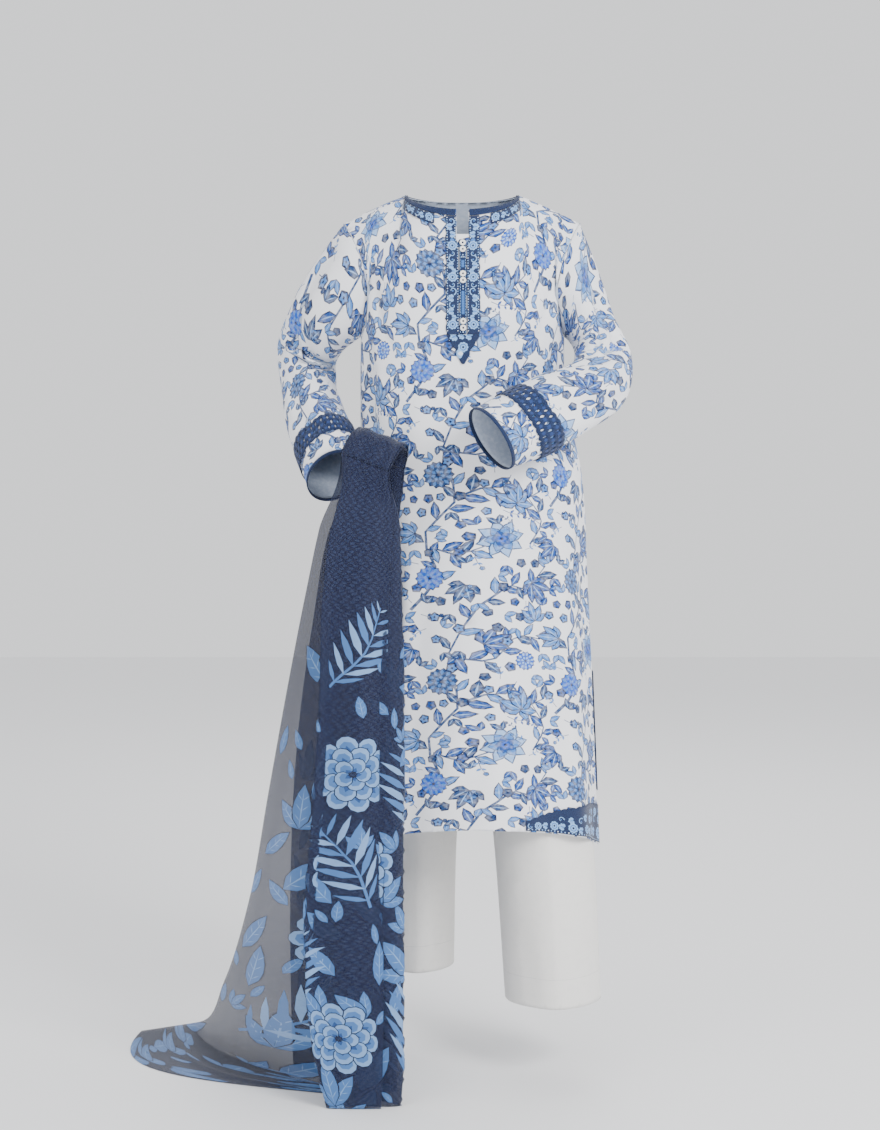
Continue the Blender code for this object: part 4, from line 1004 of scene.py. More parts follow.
# Neck trims, placket and buttons
# A plain navy bias strip binds the neck; navy bands embroidered in light blue follow it and the slit.
# Six ring buttons in three pairs are sewn with navy thread to a narrow stand between the bands.
TRIM_LIFT = 0.0005
BINDING_WIDTH = 0.013
BORDER_WIDTH = 0.020
STAND_TOP = 0.0545
PLACKET_BOTTOM = 0.213
NAVY = blue("101d40")
NAVY_SOFT = blue("22376b")
THREAD_LIGHT = blue("8db8ea")
THREAD_MID = blue("4478bd")
THREAD_WHITE = blue("dfe9f7")
column_ups = np.linspace(2.0, 0.6, 300)
column_places = front(0 * column_ups, column_ups)
column_depths = np.concatenate([[0], np.cumsum(np.linalg.norm(np.diff(column_places, axis=0), axis=-1))])


def across_at(x, up):
    """Share across of a point of the front x metres to the side of its middle."""
    across = x / 0.19 + 0 * up
    middle = front(0 * across, up)[..., 0]
    for _ in range(12):
        width = front(across, up)[..., 0] - middle
        across = across * np.where(width == 0, 1.0, x / np.where(width == 0, 1.0, width))
    return across


def below_neck(surface, curved):
    """A panel from s metres to the side and d metres below the neckline; curved, s follows the neck."""
    shares = np.linspace(0, 0.5, 120)
    edge = surface(shares, 0 * shares + np.interp(0.02, column_depths, column_ups))
    lengths = np.concatenate([[0], np.cumsum(np.linalg.norm(np.diff(edge, axis=0), axis=-1))])

    def shape(s, d):
        up = np.interp(d, column_depths, column_ups)
        across = np.sign(s) * np.interp(np.abs(s), lengths, shares) if curved else across_at(s, up)
        return surface(across, up)

    return shape, lambda share: np.interp(share, shares, lengths)


def embroidered(name, roughness=0.62, sheen=0.25):
    """Satin stitch on cloth: the dye is the patch's colour, with fine threads that catch the light."""
    finish = Finish(name, roughness=roughness, sheen=sheen)
    finish.threads(1100.0, 0.00035)
    finish.colour((finish.noise(700.0, 3.0) - 0.45) * 0.8, finish.dye(), THREAD_MID)
    return finish.material


def disc(radius, count=16):
    """A round patch: points on a circle."""
    angle = np.linspace(0, 2 * np.pi, count, endpoint=False)
    return radius * np.column_stack([np.cos(angle), np.sin(angle)])


def eyed_flower(radius):
    """A round embroidered flower: a scalloped light ring, a mid-blue disc, light dots and a dark eye."""
    patches = [(rosette(radius, 9, 0.16, 4), THREAD_LIGHT), (disc(radius * 0.66), THREAD_MID)]
    patches += [(disc(radius * 0.46), THREAD_LIGHT), (disc(radius * 0.24, 10), NAVY)]
    return patches


def scroll(radius):
    """A curled embroidered scroll: a spiral of light thread with a dot at its heart."""
    turn = np.linspace(0, 4.4, 14)
    spiral = np.column_stack([np.cos(turn), np.sin(turn)]) * (radius * (1 - 0.14 * turn))[:, None]
    curl = stem(spiral, radius * 0.26, radius * 0.16, 16)
    return [(curl, THREAD_LIGHT), (disc(radius * 0.2, 8), THREAD_MID)]


def star_leaf(size):
    """Five pointed leaves in a fan, light with a mid-blue middle."""
    patches = []
    for angle in (-1.25, 1.25, -0.62, 0.62, 0.0):
        reach = size * (1.0 - 0.22 * abs(angle))
        lobe = [(leaf(reach, size * 0.30), THREAD_LIGHT), (leaf(reach * 0.72, size * 0.12), THREAD_MID)]
        patches += placed(lobe, 0, 0, angle)
    return patches


EMBROIDERY = embroidered("blue_embroidery")
NAVY_CLOTH = embroidered("navy_trim", 0.75, 0.12)
neck_front, reach_front = below_neck(front, True)
neck_back, reach_back = below_neck(back, True)
placket_shape, _ = below_neck(front, False)


def band(s_low, s_high, inner, outer, count=60):
    """A band's outline between two edges, each a function of the length along it."""
    s = np.linspace(s_low, s_high, count)
    return between((s, inner(s)), (s, outer(s)))


def stitches(start, end, count, length, width, colour):
    """A row of short stitches on a straight line of the cut."""
    line = np.linspace(start, end, count)
    angle = math.atan2(end[1] - start[1], end[0] - start[0])
    dash = np.array([(-length, -width), (length, -width), (length, width), (-length, width)]) / 2
    return [(turned(dash, x, y, angle), colour) for x, y in line]


def handed(patches, hand):
    """The patches as they are on the wearer's left (1), or mirrored for the right (-1)."""
    return [(patch * (hand, 1), colour) for patch, colour in patches]


BINDING_LIFT = TRIM_LIFT + 0.0022
BORDER_LIFT = TRIM_LIFT + 0.0016
PLACKET_LIFT = TRIM_LIFT + 0.0014
# Places along each neck border of its motifs, in metres from its start
NECK_MOTIFS = (
    (0.012, eyed_flower(0.0078), 0.0), (0.0245, star_leaf(0.0085), -1.3), (0.036, scroll(0.0062), 0.6),
    (0.046, star_leaf(0.0080), -1.8), (0.058, eyed_flower(0.0062), 0.0), (0.068, scroll(0.0056), 2.0),
    (0.078, star_leaf(0.0080), -1.2), (0.092, eyed_flower(0.0070), 0.0), (0.103, scroll(0.0050), 0.0),
)
start_s, end_s = reach_front(NECK_SLIT_HALF / 0.19 + 0.004), reach_front(NECK_SHARE - 0.003)
for hand, hand_name in ((-1, "right"), (1, "left")):
    binding = band(start_s, end_s, lambda s: 0 * s + 0.0015, lambda s: 0 * s + BINDING_WIDTH) * (hand, 1)
    sewn = stitches((hand * start_s, 0.0118), (hand * end_s, 0.0118), 46, 0.0014, 0.0004, NAVY_SOFT)
    flat = flat_cut(binding, sewn, 0.005, NAVY)
    piece = laid_cloth(f"neck_binding_{hand_name}_cloth", NAVY_CLOTH, flat, neck_front, -1, 0.0012,
                       BINDING_LIFT, -0.0002)
    declared(piece, flat=(0.013, 0.12), held="laid", rests_on=["kameez_front_cloth"])

    low, high = reach_front(0.163), reach_front(NECK_SHARE - 0.02)
    scalloped = BINDING_WIDTH + BORDER_WIDTH - 0.0012
    edge = band(low, high, lambda s: 0 * s + BINDING_WIDTH + 0.001,
                lambda s: scalloped + 0.0018 * np.abs(np.sin((s - low) * 260)))
    patches = []
    for place, motif, angle in NECK_MOTIFS:
        if low + place < high - 0.006:
            patches += placed(motif, low + place - 0.003, 0.0235, angle)
    for k, s in enumerate(np.arange(low + 0.004, high - 0.003, 0.0052)):
        dot = disc(0.0011, 8) + (s, BINDING_WIDTH + (0.0028 if k % 2 else BORDER_WIDTH - 0.0028))
        patches.append((dot, THREAD_LIGHT if k % 3 else THREAD_WHITE))
    flat = flat_cut(edge * (hand, 1), handed(patches, hand), 0.004, NAVY)
    piece = laid_cloth(f"neck_border_{hand_name}_cloth", EMBROIDERY, flat, neck_front, -1, 0.0010,
                       BORDER_LIFT, 0.0002)
    declared(piece, flat=(0.021, 0.074), held="laid", rests_on=["kameez_front_cloth"])

back_end = reach_back(NECK_SHARE - 0.003)
binding = band(-back_end, back_end, lambda s: 0 * s + 0.0015, lambda s: 0 * s + BINDING_WIDTH, 80)
piece = laid_cloth("neck_binding_back_cloth", NAVY_CLOTH, flat_cut(binding, [], 0.005, NAVY), neck_back, 1,
                   0.0012, BINDING_LIFT)
declared(piece, flat=(0.014, 0.24), held="laid", rests_on=["kameez_back_cloth"])

# Places down the placket of each motif, in metres below the neckline
PLACKET_MOTIFS = (
    (0.0235, scroll(0.0066), 1.57), (0.0340, star_leaf(0.0095), -1.57), (0.0470, star_leaf(0.0090), 1.57),
    (0.0535, [(leaf(0.009, 0.0036), THREAD_MID)], 0.5), (0.0660, eyed_flower(0.0082), 0.0),
    (0.0790, scroll(0.0050), 0.4), (0.0895, scroll(0.0068), -1.2), (0.1000, star_leaf(0.0092), -1.57),
    (0.1090, star_leaf(0.0075), 1.57), (0.1190, eyed_flower(0.0082), 0.0), (0.1315, scroll(0.0052), 0.2),
    (0.1420, scroll(0.0068), 1.9), (0.1540, star_leaf(0.0095), -1.57), (0.1660, scroll(0.0060), -0.9),
    (0.1755, star_leaf(0.0092), -1.57), (0.1855, star_leaf(0.0070), 1.57), (0.1970, eyed_flower(0.0082), 0.0),
)
for hand, hand_name in ((-1, "right"), (1, "left")):
    down = np.linspace(BINDING_WIDTH + 0.001, PLACKET_BOTTOM, 110)
    outer = 0.0262 + 0.0022 * np.abs(np.sin((down - 0.012) * 190))
    up = np.interp(down, column_depths, column_ups)
    slit_x = front(NECK_SLIT_HALF / 0.19 + 0 * up, up)[:, 0] - front(0 * up, up)[:, 0]
    beside_slit = np.interp(down, [STAND_TOP, STAND_TOP + 0.008], [1, 0])
    inner = NECK_SLIT_HALF + 0.0005 + np.maximum(slit_x - NECK_SLIT_HALF, 0) * beside_slit
    patches = []
    for place, motif, angle in PLACKET_MOTIFS:
        patches += placed(motif, (np.interp(place, down, inner) + 0.0270) / 2, place, angle)
    for k, d in enumerate(np.arange(0.018, 0.211, 0.0043)):
        for s in (np.interp(d, down, inner) + 0.0015, 0.0254):
            patches.append((disc(0.0009, 8) + (s, d), THREAD_LIGHT if k % 4 else THREAD_WHITE))
    edge = between((inner, down), (outer, down))
    flat = flat_cut(edge * (hand, 1), handed(patches, hand), 0.005, NAVY)
    piece = laid_cloth(f"placket_border_{hand_name}_cloth", EMBROIDERY, flat, placket_shape, -1, 0.0010,
                       PLACKET_LIFT, 0.0002)
    declared(piece, flat=(0.021, 0.20), held="laid", rests_on=["kameez_front_cloth"])

down = np.linspace(0, 0.048, 40)
half = np.interp(down, [0, 0.012, 0.024, 0.036, 0.042, 0.048],
                 [0.0265, 0.0215, 0.0130, 0.0090, 0.0070, 0.0012])
half = half + 0.0010 * np.sin(down * 420)
right_side = np.column_stack([-half, PLACKET_BOTTOM + 0.0006 + down])
edge = np.concatenate([right_side, right_side[::-1] * (-1, 1)])
patches = placed(star_leaf(0.0105), -0.0125, 0.2165, 1.25) + placed(star_leaf(0.0105), 0.0125, 0.2165, 1.89)
patches += placed(star_leaf(0.0090), 0.0, 0.2155, 1.57) + placed(eyed_flower(0.0086), 0.0, 0.2340)
tip = [(leaf(0.0130, 0.0080, 7), THREAD_LIGHT), (leaf(0.0090, 0.0036), THREAD_WHITE)]
patches += placed(tip, 0.0, 0.2445, 1.57)
piece = laid_cloth("placket_point_cloth", EMBROIDERY, flat_cut(edge, patches, 0.004, NAVY), placket_shape, -1,
                   0.0010, PLACKET_LIFT, 0.0002)
declared(piece, flat=(0.053, 0.048), area=0.0016, held="laid", rests_on=["kameez_front_cloth"])

STAND_HALF_WIDTH = 0.0055


def oblong_patch(half_width, top, bottom):
    """Four corners of a straight patch on the middle line."""
    return np.array([(-half_width, top), (half_width, top), (half_width, bottom), (-half_width, bottom)])


edge = oblong_patch(STAND_HALF_WIDTH, STAND_TOP, PLACKET_BOTTOM - 0.0008)
patches = [(oblong_patch(0.0024, *ends), THREAD_MID) for ends in ((0.0900, 0.1020), (0.1420, 0.1800))]
for s in (-0.0044, 0.0044):
    patches += stitches((s, 0.058), (s, 0.209), 34, 0.0028, 0.0007, THREAD_LIGHT)
for s in (-0.0019, 0.0, 0.0019):
    patches += stitches((s, 0.0915), (s, 0.1005), 4, 0.0017, 0.0005, NAVY)
    patches += stitches((s, 0.1435), (s, 0.1785), 13, 0.0017, 0.0005, NAVY)
piece = laid_cloth("button_stand_cloth", NAVY_CLOTH, flat_cut(edge, patches, 0.003, NAVY), placket_shape, -1,
                   0.0014, PLACKET_LIFT)
declared(piece, flat=(0.011, 0.158), held="laid", rests_on=["kameez_front_cloth"])


def ring_faces(rings, steps):
    """Quads of a closed band of rings: each point is joined to the next one and to the next ring."""
    number = np.arange(rings * steps).reshape(rings, steps)
    following = np.roll(number, -1, axis=0)
    quads = [number, following, np.roll(following, -1, axis=1), np.roll(number, -1, axis=1)]
    return np.stack(quads, axis=-1).reshape(-1, 4)


def turned_part(name, material, profile, centre, out, count=32):
    """A small round part: a profile of radius and height turned about the line that points out."""
    upward = unit(np.cross(out, np.array([1.0, 0.0, 0.0])))
    sideways = np.cross(upward, out)
    angle = np.linspace(0, 2 * np.pi, count, endpoint=False)[:, None, None]
    around = np.cos(angle) * sideways + np.sin(angle) * upward
    rings = centre + profile[None, :, :1] * around + profile[None, :, 1:] * out
    mesh = bpy.data.meshes.new(name)
    mesh.from_pydata(rings.reshape(-1, 3).tolist(), [], ring_faces(count, len(profile)).tolist())
    return added(mesh, material)


def on_placket(s, depth, lift):
    """A place on the placket s metres to the side and a depth below the neck, and the way out of it."""
    place = np.full(1, s), np.full(1, depth)
    out = facing(placket_shape, *place, -1)[0]
    return placket_shape(*place)[0] + out * (TRIM_LIFT + lift), out


SHELL = Finish("button_shell", roughness=0.28, sheen=0.0, base=(0.86, 0.85, 0.82)).material
BUTTON_THREAD = Finish("button_thread", roughness=0.7, sheen=0.1, base=NAVY).material
GLASS = Finish("glass_bead", roughness=0.2, sheen=0.0, base=blue("a9c8ee")).material
BUTTON_DEPTHS = (0.0605, 0.0715, 0.1130, 0.1240, 0.1915, 0.2025)
BEAD_PLACES = (
    (0.0, 0.0815), (-0.0016, 0.0850), (0.0016, 0.0850), (0.0, 0.1345), (0.0, 0.1385), (0.0, 0.2095),
)
# Radius and height of each profile's points
RING_PROFILE = np.array([
    (0.0016, 0.0000), (0.0049, 0.0000), (0.0052, 0.0006), (0.0051, 0.0014), (0.0046, 0.0021),
    (0.0039, 0.0023), (0.0031, 0.0020), (0.0024, 0.0014), (0.0017, 0.0013),
])
KNOT_PROFILE = np.array([
    (0.0, -0.0004), (0.0013, -0.0004), (0.0014, 0.0004), (0.0010, 0.0012), (0.0, 0.0014),
])
BEAD_RADIUS = 0.0013
half_turn = np.linspace(0, np.pi, 7)
BEAD_PROFILE = np.column_stack([BEAD_RADIUS * np.sin(half_turn), -BEAD_RADIUS * np.cos(half_turn)])
for count, depth in enumerate(BUTTON_DEPTHS, start=1):
    centre, out = on_placket(0.0, depth, 0.0019)
    stands_for_node(turned_part(f"button_{count}_ring", SHELL, RING_PROFILE, centre, out))
    turned_part(f"button_{count}_thread", BUTTON_THREAD, KNOT_PROFILE, centre, out, 14)
for count, (s, depth) in enumerate(BEAD_PLACES, start=1):
    turned_part(f"bead_{count}", GLASS, BEAD_PROFILE, *on_placket(s, depth, 0.0026), 12)

# Cuffs and sleeve lace
# A folded navy strip is sewn round the end of each sleeve.
# A band of navy guipure lace, small leaves and flowers joined by bars, is sewn on above it.
LACE_START = 0.410
LACE_END = 0.452
LACE_MIDDLE = (LACE_START + LACE_END) / 2
LACE_ROW = 0.0095
LACE_REPEATS = 30
LACE_PITCH = 2 * SLEEVE_HALF / LACE_REPEATS
# The piping's section: metres past the sleeve's end, metres out from the sleeve
PIPING_SECTION = ((0.0008, 0.0004), (0.0035, 0.0009), (0.0062, 0.0006), (0.0070, -0.0004), (0.0062, -0.0013),
                  (0.0008, -0.0014))
for mirror, hand in ((-1, "right"), (1, "left")):
    surface = sleeve(mirror)
    turn = np.linspace(-np.pi, np.pi, 96, endpoint=False)
    at_end = surface(turn, 0 * turn + 1.0)
    forward = unit(at_end - surface(turn, 0 * turn + 0.99))
    outwards = facing(surface, turn, 0 * turn + 0.998, mirror)
    rings = np.stack([at_end + forward * ahead + outwards * out for ahead, out in PIPING_SECTION], axis=1)
    steps = len(PIPING_SECTION)
    faces = ring_faces(len(turn), steps)[:, ::-mirror]
    mesh = bpy.data.meshes.new(f"cuff_piping_{hand}_strip")
    mesh.from_pydata(rings.reshape(-1, 3).tolist(), [], faces.tolist())
    around = np.repeat(turn * SLEEVE_RADIUS, steps)
    cut = np.column_stack([around, np.tile(np.arange(steps) * 0.003, len(turn))])
    coloured(mesh, cut[faces.ravel()], np.tile([*NAVY, 1.0], len(faces) * 4))
    declared(added(mesh, NAVY_CLOTH), flat=(0.34, 0.010), held="folded", area=0.0026)

    s = np.linspace(-SLEEVE_HALF, SLEEVE_HALF, LACE_REPEATS * 8 + 1)
    ripple = 0.0022 * np.abs(np.sin(np.pi * (s + SLEEVE_HALF) / LACE_PITCH))
    edge = between((s, LACE_START + 0.0022 - ripple), (s, LACE_END - 0.0022 + ripple))
    holes, patches = [], []
    for k in range(LACE_REPEATS):
        centre = -SLEEVE_HALF + LACE_PITCH * (k + 0.5)
        for row, (t, tall) in enumerate(((LACE_START + LACE_ROW, 0.0050), (LACE_MIDDLE, 0.0062),
                                         (LACE_END - LACE_ROW, 0.0050))):
            if row == 1 and k == LACE_REPEATS - 1:
                continue
            at = centre + (LACE_PITCH / 2 if row == 1 else 0)
            holes.append(turned(leaf(tall * 1.5, tall * 0.34, 4), at, t - tall * 0.75))
        for t in (LACE_START + LACE_ROW, LACE_END - LACE_ROW):
            patches.append((rosette(0.0034, 5, 0.3, 2) + (centre - LACE_PITCH / 2 + 0.0002, t), NAVY_SOFT))
        patches.append((rosette(0.0040, 6, 0.35, 2) + (centre, LACE_MIDDLE), NAVY_SOFT))
    patches = [(patch, colour) for patch, colour in patches if np.abs(patch[:, 0]).max() < SLEEVE_HALF - 1e-4]
    flat = flat_cut(edge, patches, 0.006, NAVY, holes=holes)
    piece = laid_cloth(f"sleeve_lace_{hand}_band", NAVY_CLOTH, flat, sleeve_cuts[mirror], mirror, 0.0010,
                       0.0022, 0.0002)
    declared(piece, flat=(0.34, 0.042), held="laid", rests_on=[f"sleeve_{hand}_cloth"], area=0.012)

# Lace on the side slits and embroidered corners of the hem
# Navy lace with leafy tufts edges each side slit; each corner of the hem carries a navy embroidered piece
# with round light-blue flowers.
CORNER_STARTS = {-1: 0.50, 1: 0.22}
CORNER_HEIGHT = 0.068
CORNER_LOW = 0.018
body_height = ARMPIT_Z - HEM_SIDE_Z


def corner_top(inwards):
    """The upper edge of a hem corner in metres of cut: high at the slit, low at its inner end."""
    height = CORNER_HEIGHT - (CORNER_HEIGHT - CORNER_LOW) * inwards**2
    return height / body_height * PANEL_BODY_LENGTH


# Places of the embroidered motifs of a corner: metres across the cut and up from the hem, and turn
CORNER_MOTIFS = (
    (0.2570, 0.0170, eyed_flower(0.0105), 0), (0.2610, 0.0400, eyed_flower(0.0080), 0),
    (0.2380, 0.0380, scroll(0.0070), 1), (0.2340, 0.0160, star_leaf(0.0120), 1.2),
    (0.2120, 0.0170, eyed_flower(0.0090), 0), (0.2150, 0.0330, star_leaf(0.0100), 0.4),
    (0.1950, 0.0120, star_leaf(0.0105), 1.4), (0.1780, 0.0150, eyed_flower(0.0078), 0),
    (0.1620, 0.0110, star_leaf(0.0090), 1.4), (0.1450, 0.0140, eyed_flower(0.0085), 0),
    (0.1950, 0.0330, eyed_flower(0.0072), 0), (0.2640, 0.0540, star_leaf(0.0080), 0.3),
    (0.1290, 0.0130, star_leaf(0.0095), 1.2), (0.1130, 0.0140, eyed_flower(0.0080), 0),
    (0.0980, 0.0120, star_leaf(0.0090), 1.4), (0.0820, 0.0115, eyed_flower(0.0065), 0),
    (0.0690, 0.0100, scroll(0.0050), 2), (0.1750, 0.0330, star_leaf(0.0100), 1.3),
    (0.1600, 0.0270, scroll(0.0060), 1), (0.1440, 0.0270, star_leaf(0.0085), 1.9),
    (0.1250, 0.0260, scroll(0.0052), 0), (0.2200, 0.0480, star_leaf(0.0090), 1.1),
    (0.2420, 0.0520, eyed_flower(0.0070), 0), (0.1990, 0.0460, scroll(0.0050), 0),
)
CORNER_END = 0.2745
CORNER_WIDTHS = {-1: 0.138, 1: 0.214}
CORNER_AREAS = {-1: 0.0062, 1: 0.0100}
for side, side_name, shape, outside in ((-1, "front", front_cut, 1), (1, "back", back_cut, -1)):
    for hand, hand_name in ((-1, "right"), (1, "left")):
        ends = f"{side_name}_{hand_name}"
        under = [f"kameez_{side_name}_cloth"]
        t = np.linspace(0.108, 0.345, 120) * PANEL_BODY_LENGTH
        outer = panel_half_width(t) - 0.0002
        tuft = 0.0025 * np.abs(np.sin(t * 300)) + 0.0022 * np.sin(t * 97)
        edge = between((outer, t), (outer - 0.0105 - tuft, t))
        patches = []
        for k, height in enumerate(np.arange(t[0] + 0.006, t[-1] - 0.004, 0.0105)):
            motif = placed([(leaf(0.0085, 0.0022), NAVY_SOFT)], 0, 0, 0.5 if k % 2 else -0.3)
            if k % 3 == 0:
                motif = [(patch, NAVY if colour is THREAD_MID else NAVY_SOFT)
                         for patch, colour in star_leaf(0.0075)]
            patches += placed(motif, np.interp(height, t, outer) - 0.0035, height - 0.003, 1.2)
        flat = flat_cut(edge * (hand, 1), handed(patches, hand), 0.006, NAVY)
        piece = laid_cloth(f"slit_lace_{ends}_band", NAVY_CLOTH, flat, shape, outside, 0.0010,
                           BORDER_LIFT, 0.0002)
        declared(piece, flat=(0.016, 0.20), held="laid", rests_on=under)

        s = np.linspace(CORNER_STARTS[hand] * HEM_HALF_WIDTH + 0.001, CORNER_END, 90)
        inwards = np.clip((1 - s / HEM_HALF_WIDTH) / (1 - CORNER_STARTS[hand]), 0, 1)
        top = corner_top(inwards) + 0.0022 * np.abs(np.sin(s * 230)) - 0.0010
        edge = between((s, 0 * s + 0.0022), (np.minimum(s, panel_half_width(top) - 0.0006), top))
        patches = []
        for a, b, motif, angle in CORNER_MOTIFS:
            if a > s[0] + 0.006:
                patches += placed(motif, a, b, angle)
        for k, dot_s in enumerate(np.arange(s[0] + 0.004, 0.271, 0.0060)):
            patches.append((disc(0.0012, 8) + (dot_s, 0.0048), THREAD_LIGHT if k % 3 else THREAD_WHITE))
        flat = flat_cut(edge * (hand, 1), handed(patches, hand), 0.006, NAVY)
        piece = laid_cloth(f"hem_corner_{ends}_cloth", EMBROIDERY, flat, shape, outside, 0.0010,
                           PLACKET_LIFT, 0.0002)
        declared(piece, flat=(CORNER_WIDTHS[hand], 0.066), held="laid", rests_on=under,
                 area=CORNER_AREAS[hand])

# Trousers
# Straight trousers of white cambric: four panels sewn at the sides, the inner legs and the middle, with a
# hem turned up and stitched, a pressed crease down each leg, and a folded waistband.
WAIST_Z = 1.035
WAISTBAND_DEPTH = 0.040
CROTCH_Z = 0.760
HIP_Z = 0.900
HIP_CENTRE_X = 0.016
LEG_CREASE = 0.30
TROUSER_GAP = 0.0016
TROUSER_WIDTH = 0.27
# Height, half width, front depth, back depth of the ring at waist and hip
HIP_GIRTHS = np.array([
    (0.700, 0.160, 0.108, 0.118), (0.900, 0.158, 0.108, 0.114), (1.000, 0.146, 0.096, 0.096),
    (1.035, 0.142, 0.092, 0.090),
])
# Height, centre x, centre y, half width, half depth of a leg
LEGS = {
    1: np.array([
        (0.133, 0.157, -0.012, 0.0815, 0.092), (0.400, 0.140, -0.022, 0.084, 0.092),
        (0.600, 0.119, -0.014, 0.084, 0.094), (0.760, 0.101, 0.000, 0.0840, 0.100),
        (0.900, 0.101, 0.000, 0.0840, 0.105),
    ]),
    -1: np.array([
        (0.148, -0.078, 0.170, 0.066, 0.086), (0.400, -0.075, 0.098, 0.068, 0.084),
        (0.600, -0.070, 0.046, 0.076, 0.088), (0.760, -0.069, 0.008, 0.0840, 0.096),
        (0.900, -0.069, 0.000, 0.0840, 0.105),
    ]),
}
# Creases on a panel's cut: start across and up, end across and up in metres, half width, height
TROUSER_CREASES = np.array([
    (0.060, 0.42, 0.150, 0.36, 0.012, -0.0030), (0.200, 0.40, 0.120, 0.33, 0.012, 0.0025),
    (0.050, 0.30, 0.110, 0.26, 0.010, -0.0025), (0.170, 0.26, 0.230, 0.20, 0.010, -0.0025),
    (0.090, 0.20, 0.100, 0.02, 0.012, -0.0022), (0.190, 0.16, 0.185, 0.01, 0.013, 0.0022),
    (0.040, 0.14, 0.050, 0.01, 0.010, 0.0018), (0.235, 0.13, 0.232, 0.01, 0.010, -0.0018),
    (0.070, 0.62, 0.190, 0.55, 0.014, -0.0030), (0.230, 0.56, 0.120, 0.48, 0.013, 0.0025),
    (0.000, 0.052, 0.270, 0.052, 0.0022, -0.0007),
])
WHITE = blue("eceae6")
WHITE_SHADE = blue("c9c8c8")


def hip_quarter(hand, side, across, height):
    """A quarter of the hip ring: 0 at the side seam, 1 at the centre seam."""
    half_width, front_depth, back_depth = along(HIP_GIRTHS, height)
    depth = front_depth if side < 0 else back_depth
    turn = (1 - across) * np.pi / 2
    x = hand * half_width * signed_power(np.sin(turn), 0.9)
    return point(HIP_CENTRE_X + x, side * depth * signed_power(np.cos(turn), 0.9), height + FLOOR_Z + 0 * x)


def leg_half(hand, side, across, height):
    """Half of a leg's ring: 0 at the outer seam, 1 at the inner seam, with a pressed crease midway."""
    centre_x, centre_y, half_width, half_depth = along(LEGS[hand], height)
    turn = across * np.pi
    pressed = 1 + LEG_CREASE * ease((CROTCH_Z + 0.05 - height) / 0.15)
    x = centre_x + hand * half_width * signed_power(np.cos(turn), pressed)
    return point(x, centre_y + side * half_depth * np.sin(turn), height + FLOOR_Z + 0 * x)


def cut_of_trouser(hand, side, hem):
    """A trouser panel from its flat cut: s metres from the side seam, t metres up from the hem."""
    def smooth_cut(s, t):
        across, height = np.clip(s / TROUSER_WIDTH, TROUSER_GAP, 1 - TROUSER_GAP), t + hem
        into_leg = ease((HIP_Z - 0.02 - height) / (HIP_Z - 0.02 - CROTCH_Z))[..., None]
        whole = hip_quarter(hand, side, across, height) * (1 - into_leg)
        whole = whole + leg_half(hand, side, across, height) * into_leg
        whole[..., 0] += hand * 0.0010
        return whole

    def creased(s, t):
        out = facing(smooth_cut, s, t, -hand * side, 5e-4)
        fade = ease(s / 0.02) * ease((TROUSER_WIDTH - s) / 0.02)
        shifted = s if side < 0 else TROUSER_WIDTH - s
        lift = crease_lift(TROUSER_CREASES, shifted, t + 0.02 * (hand > 0)) * fade
        return smooth_cut(s, t) + out * lift[..., None]

    return creased


cambric = Finish("white_cambric", roughness=0.8, sheen=0.15)
_, _, uneven = cambric.threads(800.0, 0.0003)
cambric.colour((uneven - 0.5) * 0.5, cambric.dye(), WHITE_SHADE)
HEM_STITCH_UP = 0.0515
for hand, hand_name, hem in ((1, "left", 0.133), (-1, "right", 0.148)):
    for side, side_name in ((-1, "front"), (1, "back")):
        length = WAIST_Z - WAISTBAND_DEPTH - hem
        outline = oblong(0, TROUSER_WIDTH, length, 90, 40)
        seam = stitches((0.004, HEM_STITCH_UP), (TROUSER_WIDTH - 0.004, HEM_STITCH_UP), 84, 0.0022, 0.0007,
                        WHITE_SHADE)
        flat = flat_cut(outline, seam, 0.012, WHITE)
        piece = laid_cloth(f"trouser_{hand_name}_{side_name}_cloth", cambric.material, flat,
                           cut_of_trouser(hand, side, hem), -hand * side)
        declared(piece, flat=(0.26, length), held="hung")

WAIST_RADIUS = 0.12


def waist_ring(s, t):
    """The waistband: s is the turn times its radius, t metres up from its lower edge; softly gathered."""
    turn = s / WAIST_RADIUS
    half_width, front_depth, back_depth = along(HIP_GIRTHS, WAIST_Z - WAISTBAND_DEPTH + SEAM_GAP + t)
    y = np.where(np.cos(turn) > 0, -front_depth, back_depth) * np.abs(np.cos(turn)) ** 0.9
    gathered = 1 + 0.006 * np.sin(turn * 46) * ease(t / 0.01) * ease((WAISTBAND_DEPTH - t) / 0.01)
    x = half_width * signed_power(np.sin(turn), 0.9)
    height = WAIST_Z - WAISTBAND_DEPTH + SEAM_GAP + t + FLOOR_Z
    return point(HIP_CENTRE_X + x * gathered, y * gathered, height)


turns, up = np.linspace(0, 2 * math.pi * WAIST_RADIUS, 160), WAISTBAND_DEPTH - SEAM_GAP
outline = between((turns, 0 * turns), (turns, 0 * turns + up))
seam = stitches((0.004, 0.003), (0.749, 0.003), 230, 0.0022, 0.0006, WHITE_SHADE)
flat = flat_cut(outline, seam, 0.006, WHITE)
piece = laid_cloth("waistband_cloth", cambric.material, flat, waist_ring, 1, 0.003)
declared(piece, flat=(0.76, 0.04), held="gathered")

# Dupatta
# A long sheer navy chiffon scarf, folded in three along its length and laid over the right forearm.
# The front half hangs to the floor, where its end spreads; the back half hangs behind it.
CHIFFON = 0.0006
WRIST_RADIUS = 0.042
WRIST_LEFT_END = np.array([-0.186, -0.166, 1.077 + FLOOR_Z])
WRIST_RIGHT_END = np.array([-0.106, -0.190, 1.046 + FLOOR_Z])
LAYER_STEP = 0.0045
